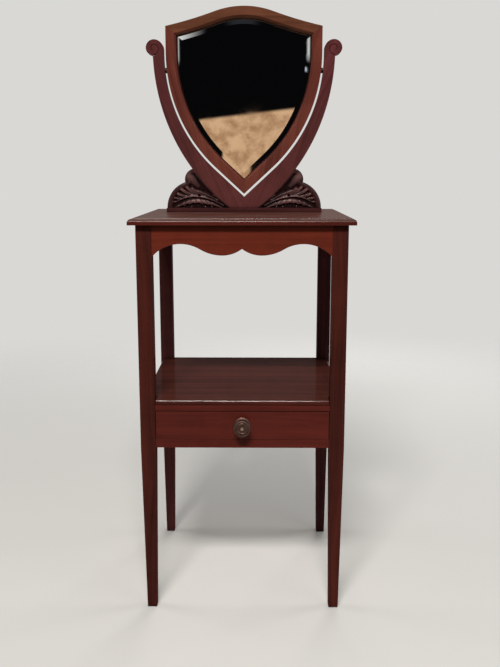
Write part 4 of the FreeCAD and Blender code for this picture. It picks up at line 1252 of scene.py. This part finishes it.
    def _depths(self, carved: Sequence[bmesh.types.BMVert], outer: np.ndarray,
                inner: np.ndarray) -> tuple[np.ndarray, np.ndarray]:
        """Works out the carving's relief.

        Args:
            carved: points of the face.
            outer: the face's free edges.
            inner: its edges beside the upright.

        Returns:
            Each point's depth behind the flat in mm, and how much its crown is lightened, as wear and a
            painted highlight, from 0 to 1.
        """
        plinth_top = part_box("mirror_plinth")[1].z
        flat = np.array([(vert.co.x, vert.co.z) for vert in carved])
        inside = self._distance(flat, outer)
        seam = np.clip(self._distance(flat, inner) / self.seam_mm, 0, 1)
        spots = np.column_stack([np.abs(flat[:, 0]), flat[:, 1] - plinth_top]) / MM
        height = np.zeros(len(spots))
        for lobe in (*self.RIB, *self.UPPER, *self.LOWER):
            height = np.maximum(height, lobe.height(spots))
        drilled = np.zeros(len(spots))
        for eye in self.EYES:
            near = np.clip(1 - np.linalg.norm(spots - np.array(eye), axis=1) / self.eye_mm, 0, 1)
            drilled = np.maximum(drilled, np.clip(self.STEEP * near, 0, 1))
        scored = np.exp(-(self._distance(spots * MM, np.array(self.RUFFLES) * MM) / self.score_mm) ** 2)
        height = np.maximum(height - self.score_mm * scored, 0) * (1 - drilled) - self.drill_mm * drilled
        turn = np.clip(2 * inside / self.border_mm - 1, -1, 1)
        roll = np.sqrt(1 - turn ** 2)
        border = np.where(turn < 0, self.ground_mm - self.edge_mm * (1 - roll), self.ground_mm * roll)
        depth = self.ground_mm - np.maximum(height, np.where(turn < 1, border, -self.drill_mm))
        # The crown share lightens the high ridges, as wear and a painted highlight.
        crown = np.clip(height / self.ground_mm, 0, 1) ** 3 * seam
        return depth * smooth(seam), crown


@dataclass
class MirrorSupport(Assembly):
    """Plinth, scrolled uprights and carved wings.

    Attributes:
        plinth_edge_mm: rounding of the plinth's edges.
        upright_edge_mm: rounding of the uprights' edges.
        upright_short_mm: length up to which the uprights' edges stay sharp.
        arm_lean: degrees by which the fibres of the uprights lean outwards.
    """

    plinth_edge_mm: float = 0.9
    upright_edge_mm: float = 0.3
    upright_short_mm: float = 1.8
    arm_lean: float = 22.0

    def build(self) -> None:
        """Dresses the support and carves its wings."""
        wood = Wood("plinth_mahogany", Grain.ALONG_X, Stain.DUSKY, cut=4.2)
        self.dress(["mirror_plinth"], wood, self.plinth_edge_mm)
        for side, way in SIDES:
            wood = Wood(f"{side}_upright_mahogany", Grain.ALONG_Z, Stain.ROSY, lean=way * self.arm_lean,
                        cut=2.0 + way, polish=0.24)
            self.dress([f"{side}_upright"], wood, self.upright_edge_mm, short_mm=self.upright_short_mm)
            wing = CarvedWing(f"{side}_carved_wing", f"{side}_wing_carving").build()
            face = Wood(f"{side}_wing_mahogany", Grain.ALONG_X, Stain.SOOTY, cut=11.0 + way, polish=0.45,
                        dulled=0.32, carved=True)
            back = Wood(f"{side}_wing_back_mahogany", Grain.ALONG_X, Stain.DUSKY, cut=11.0 + way)
            for finish in (face, back):
                wing.data.materials.append(finish.material())
            LOG.info("%s: carved", wing.name)
        self.dress(["mirror_screws"], Steel())
        self.dress(["left_pivot_bush", "right_pivot_bush"], DARK_BRASS)


@dataclass
class ShieldMirror(Assembly):
    """The shield frame with its glass, backboard and pivots.

    Attributes:
        edge_mm: rounding of the frame's edges.
        stile_lean: degrees by which the fibres of the stiles lean outwards.
    """

    edge_mm: float = 0.6
    stile_lean: float = 14.0

    def build(self) -> None:
        """Dresses the mirror."""
        # The crest's and stiles' greyer stains carry a painted reflection.
        wood = Wood("crest_mahogany", Grain.ALONG_X, Stain.TAWNY, cut=12.4, polish=0.24)
        self.dress(["crest_rail"], wood, self.edge_mm)
        for side, way in SIDES:
            wood = Wood(f"{side}_stile_mahogany", Grain.ALONG_Z, Stain.RUSSET, lean=way * self.stile_lean,
                        cut=13.0 + way, polish=0.24)
            self.dress([f"{side}_stile"], wood, self.edge_mm)
        self.dress(["mirror_glass"], SilveredGlass())
        self.dress(["mirror_backboard"], Wood("backboard_pine", Grain.ALONG_Z, cut=3.0, **BARE_PINE))
        self.dress(["backboard_screws"], Steel())
        self.dress(["left_pivot_pin", "right_pivot_pin"], DARK_BRASS)


def corners(box: tuple[Vector, Vector]) -> list[list[float]]:
    """A box's two corners as plain lists."""
    return [list(corner) for corner in box]


def main() -> None:
    """Builds the scene in order."""
    logging.basicConfig(level=logging.INFO, format="%(name)s: %(message)s")
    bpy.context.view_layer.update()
    Studio().build()
    for assembly in (Carcase(), Drawer(), MirrorSupport(), ShieldMirror()):
        assembly.build()


if __name__ == "__main__":
    main()
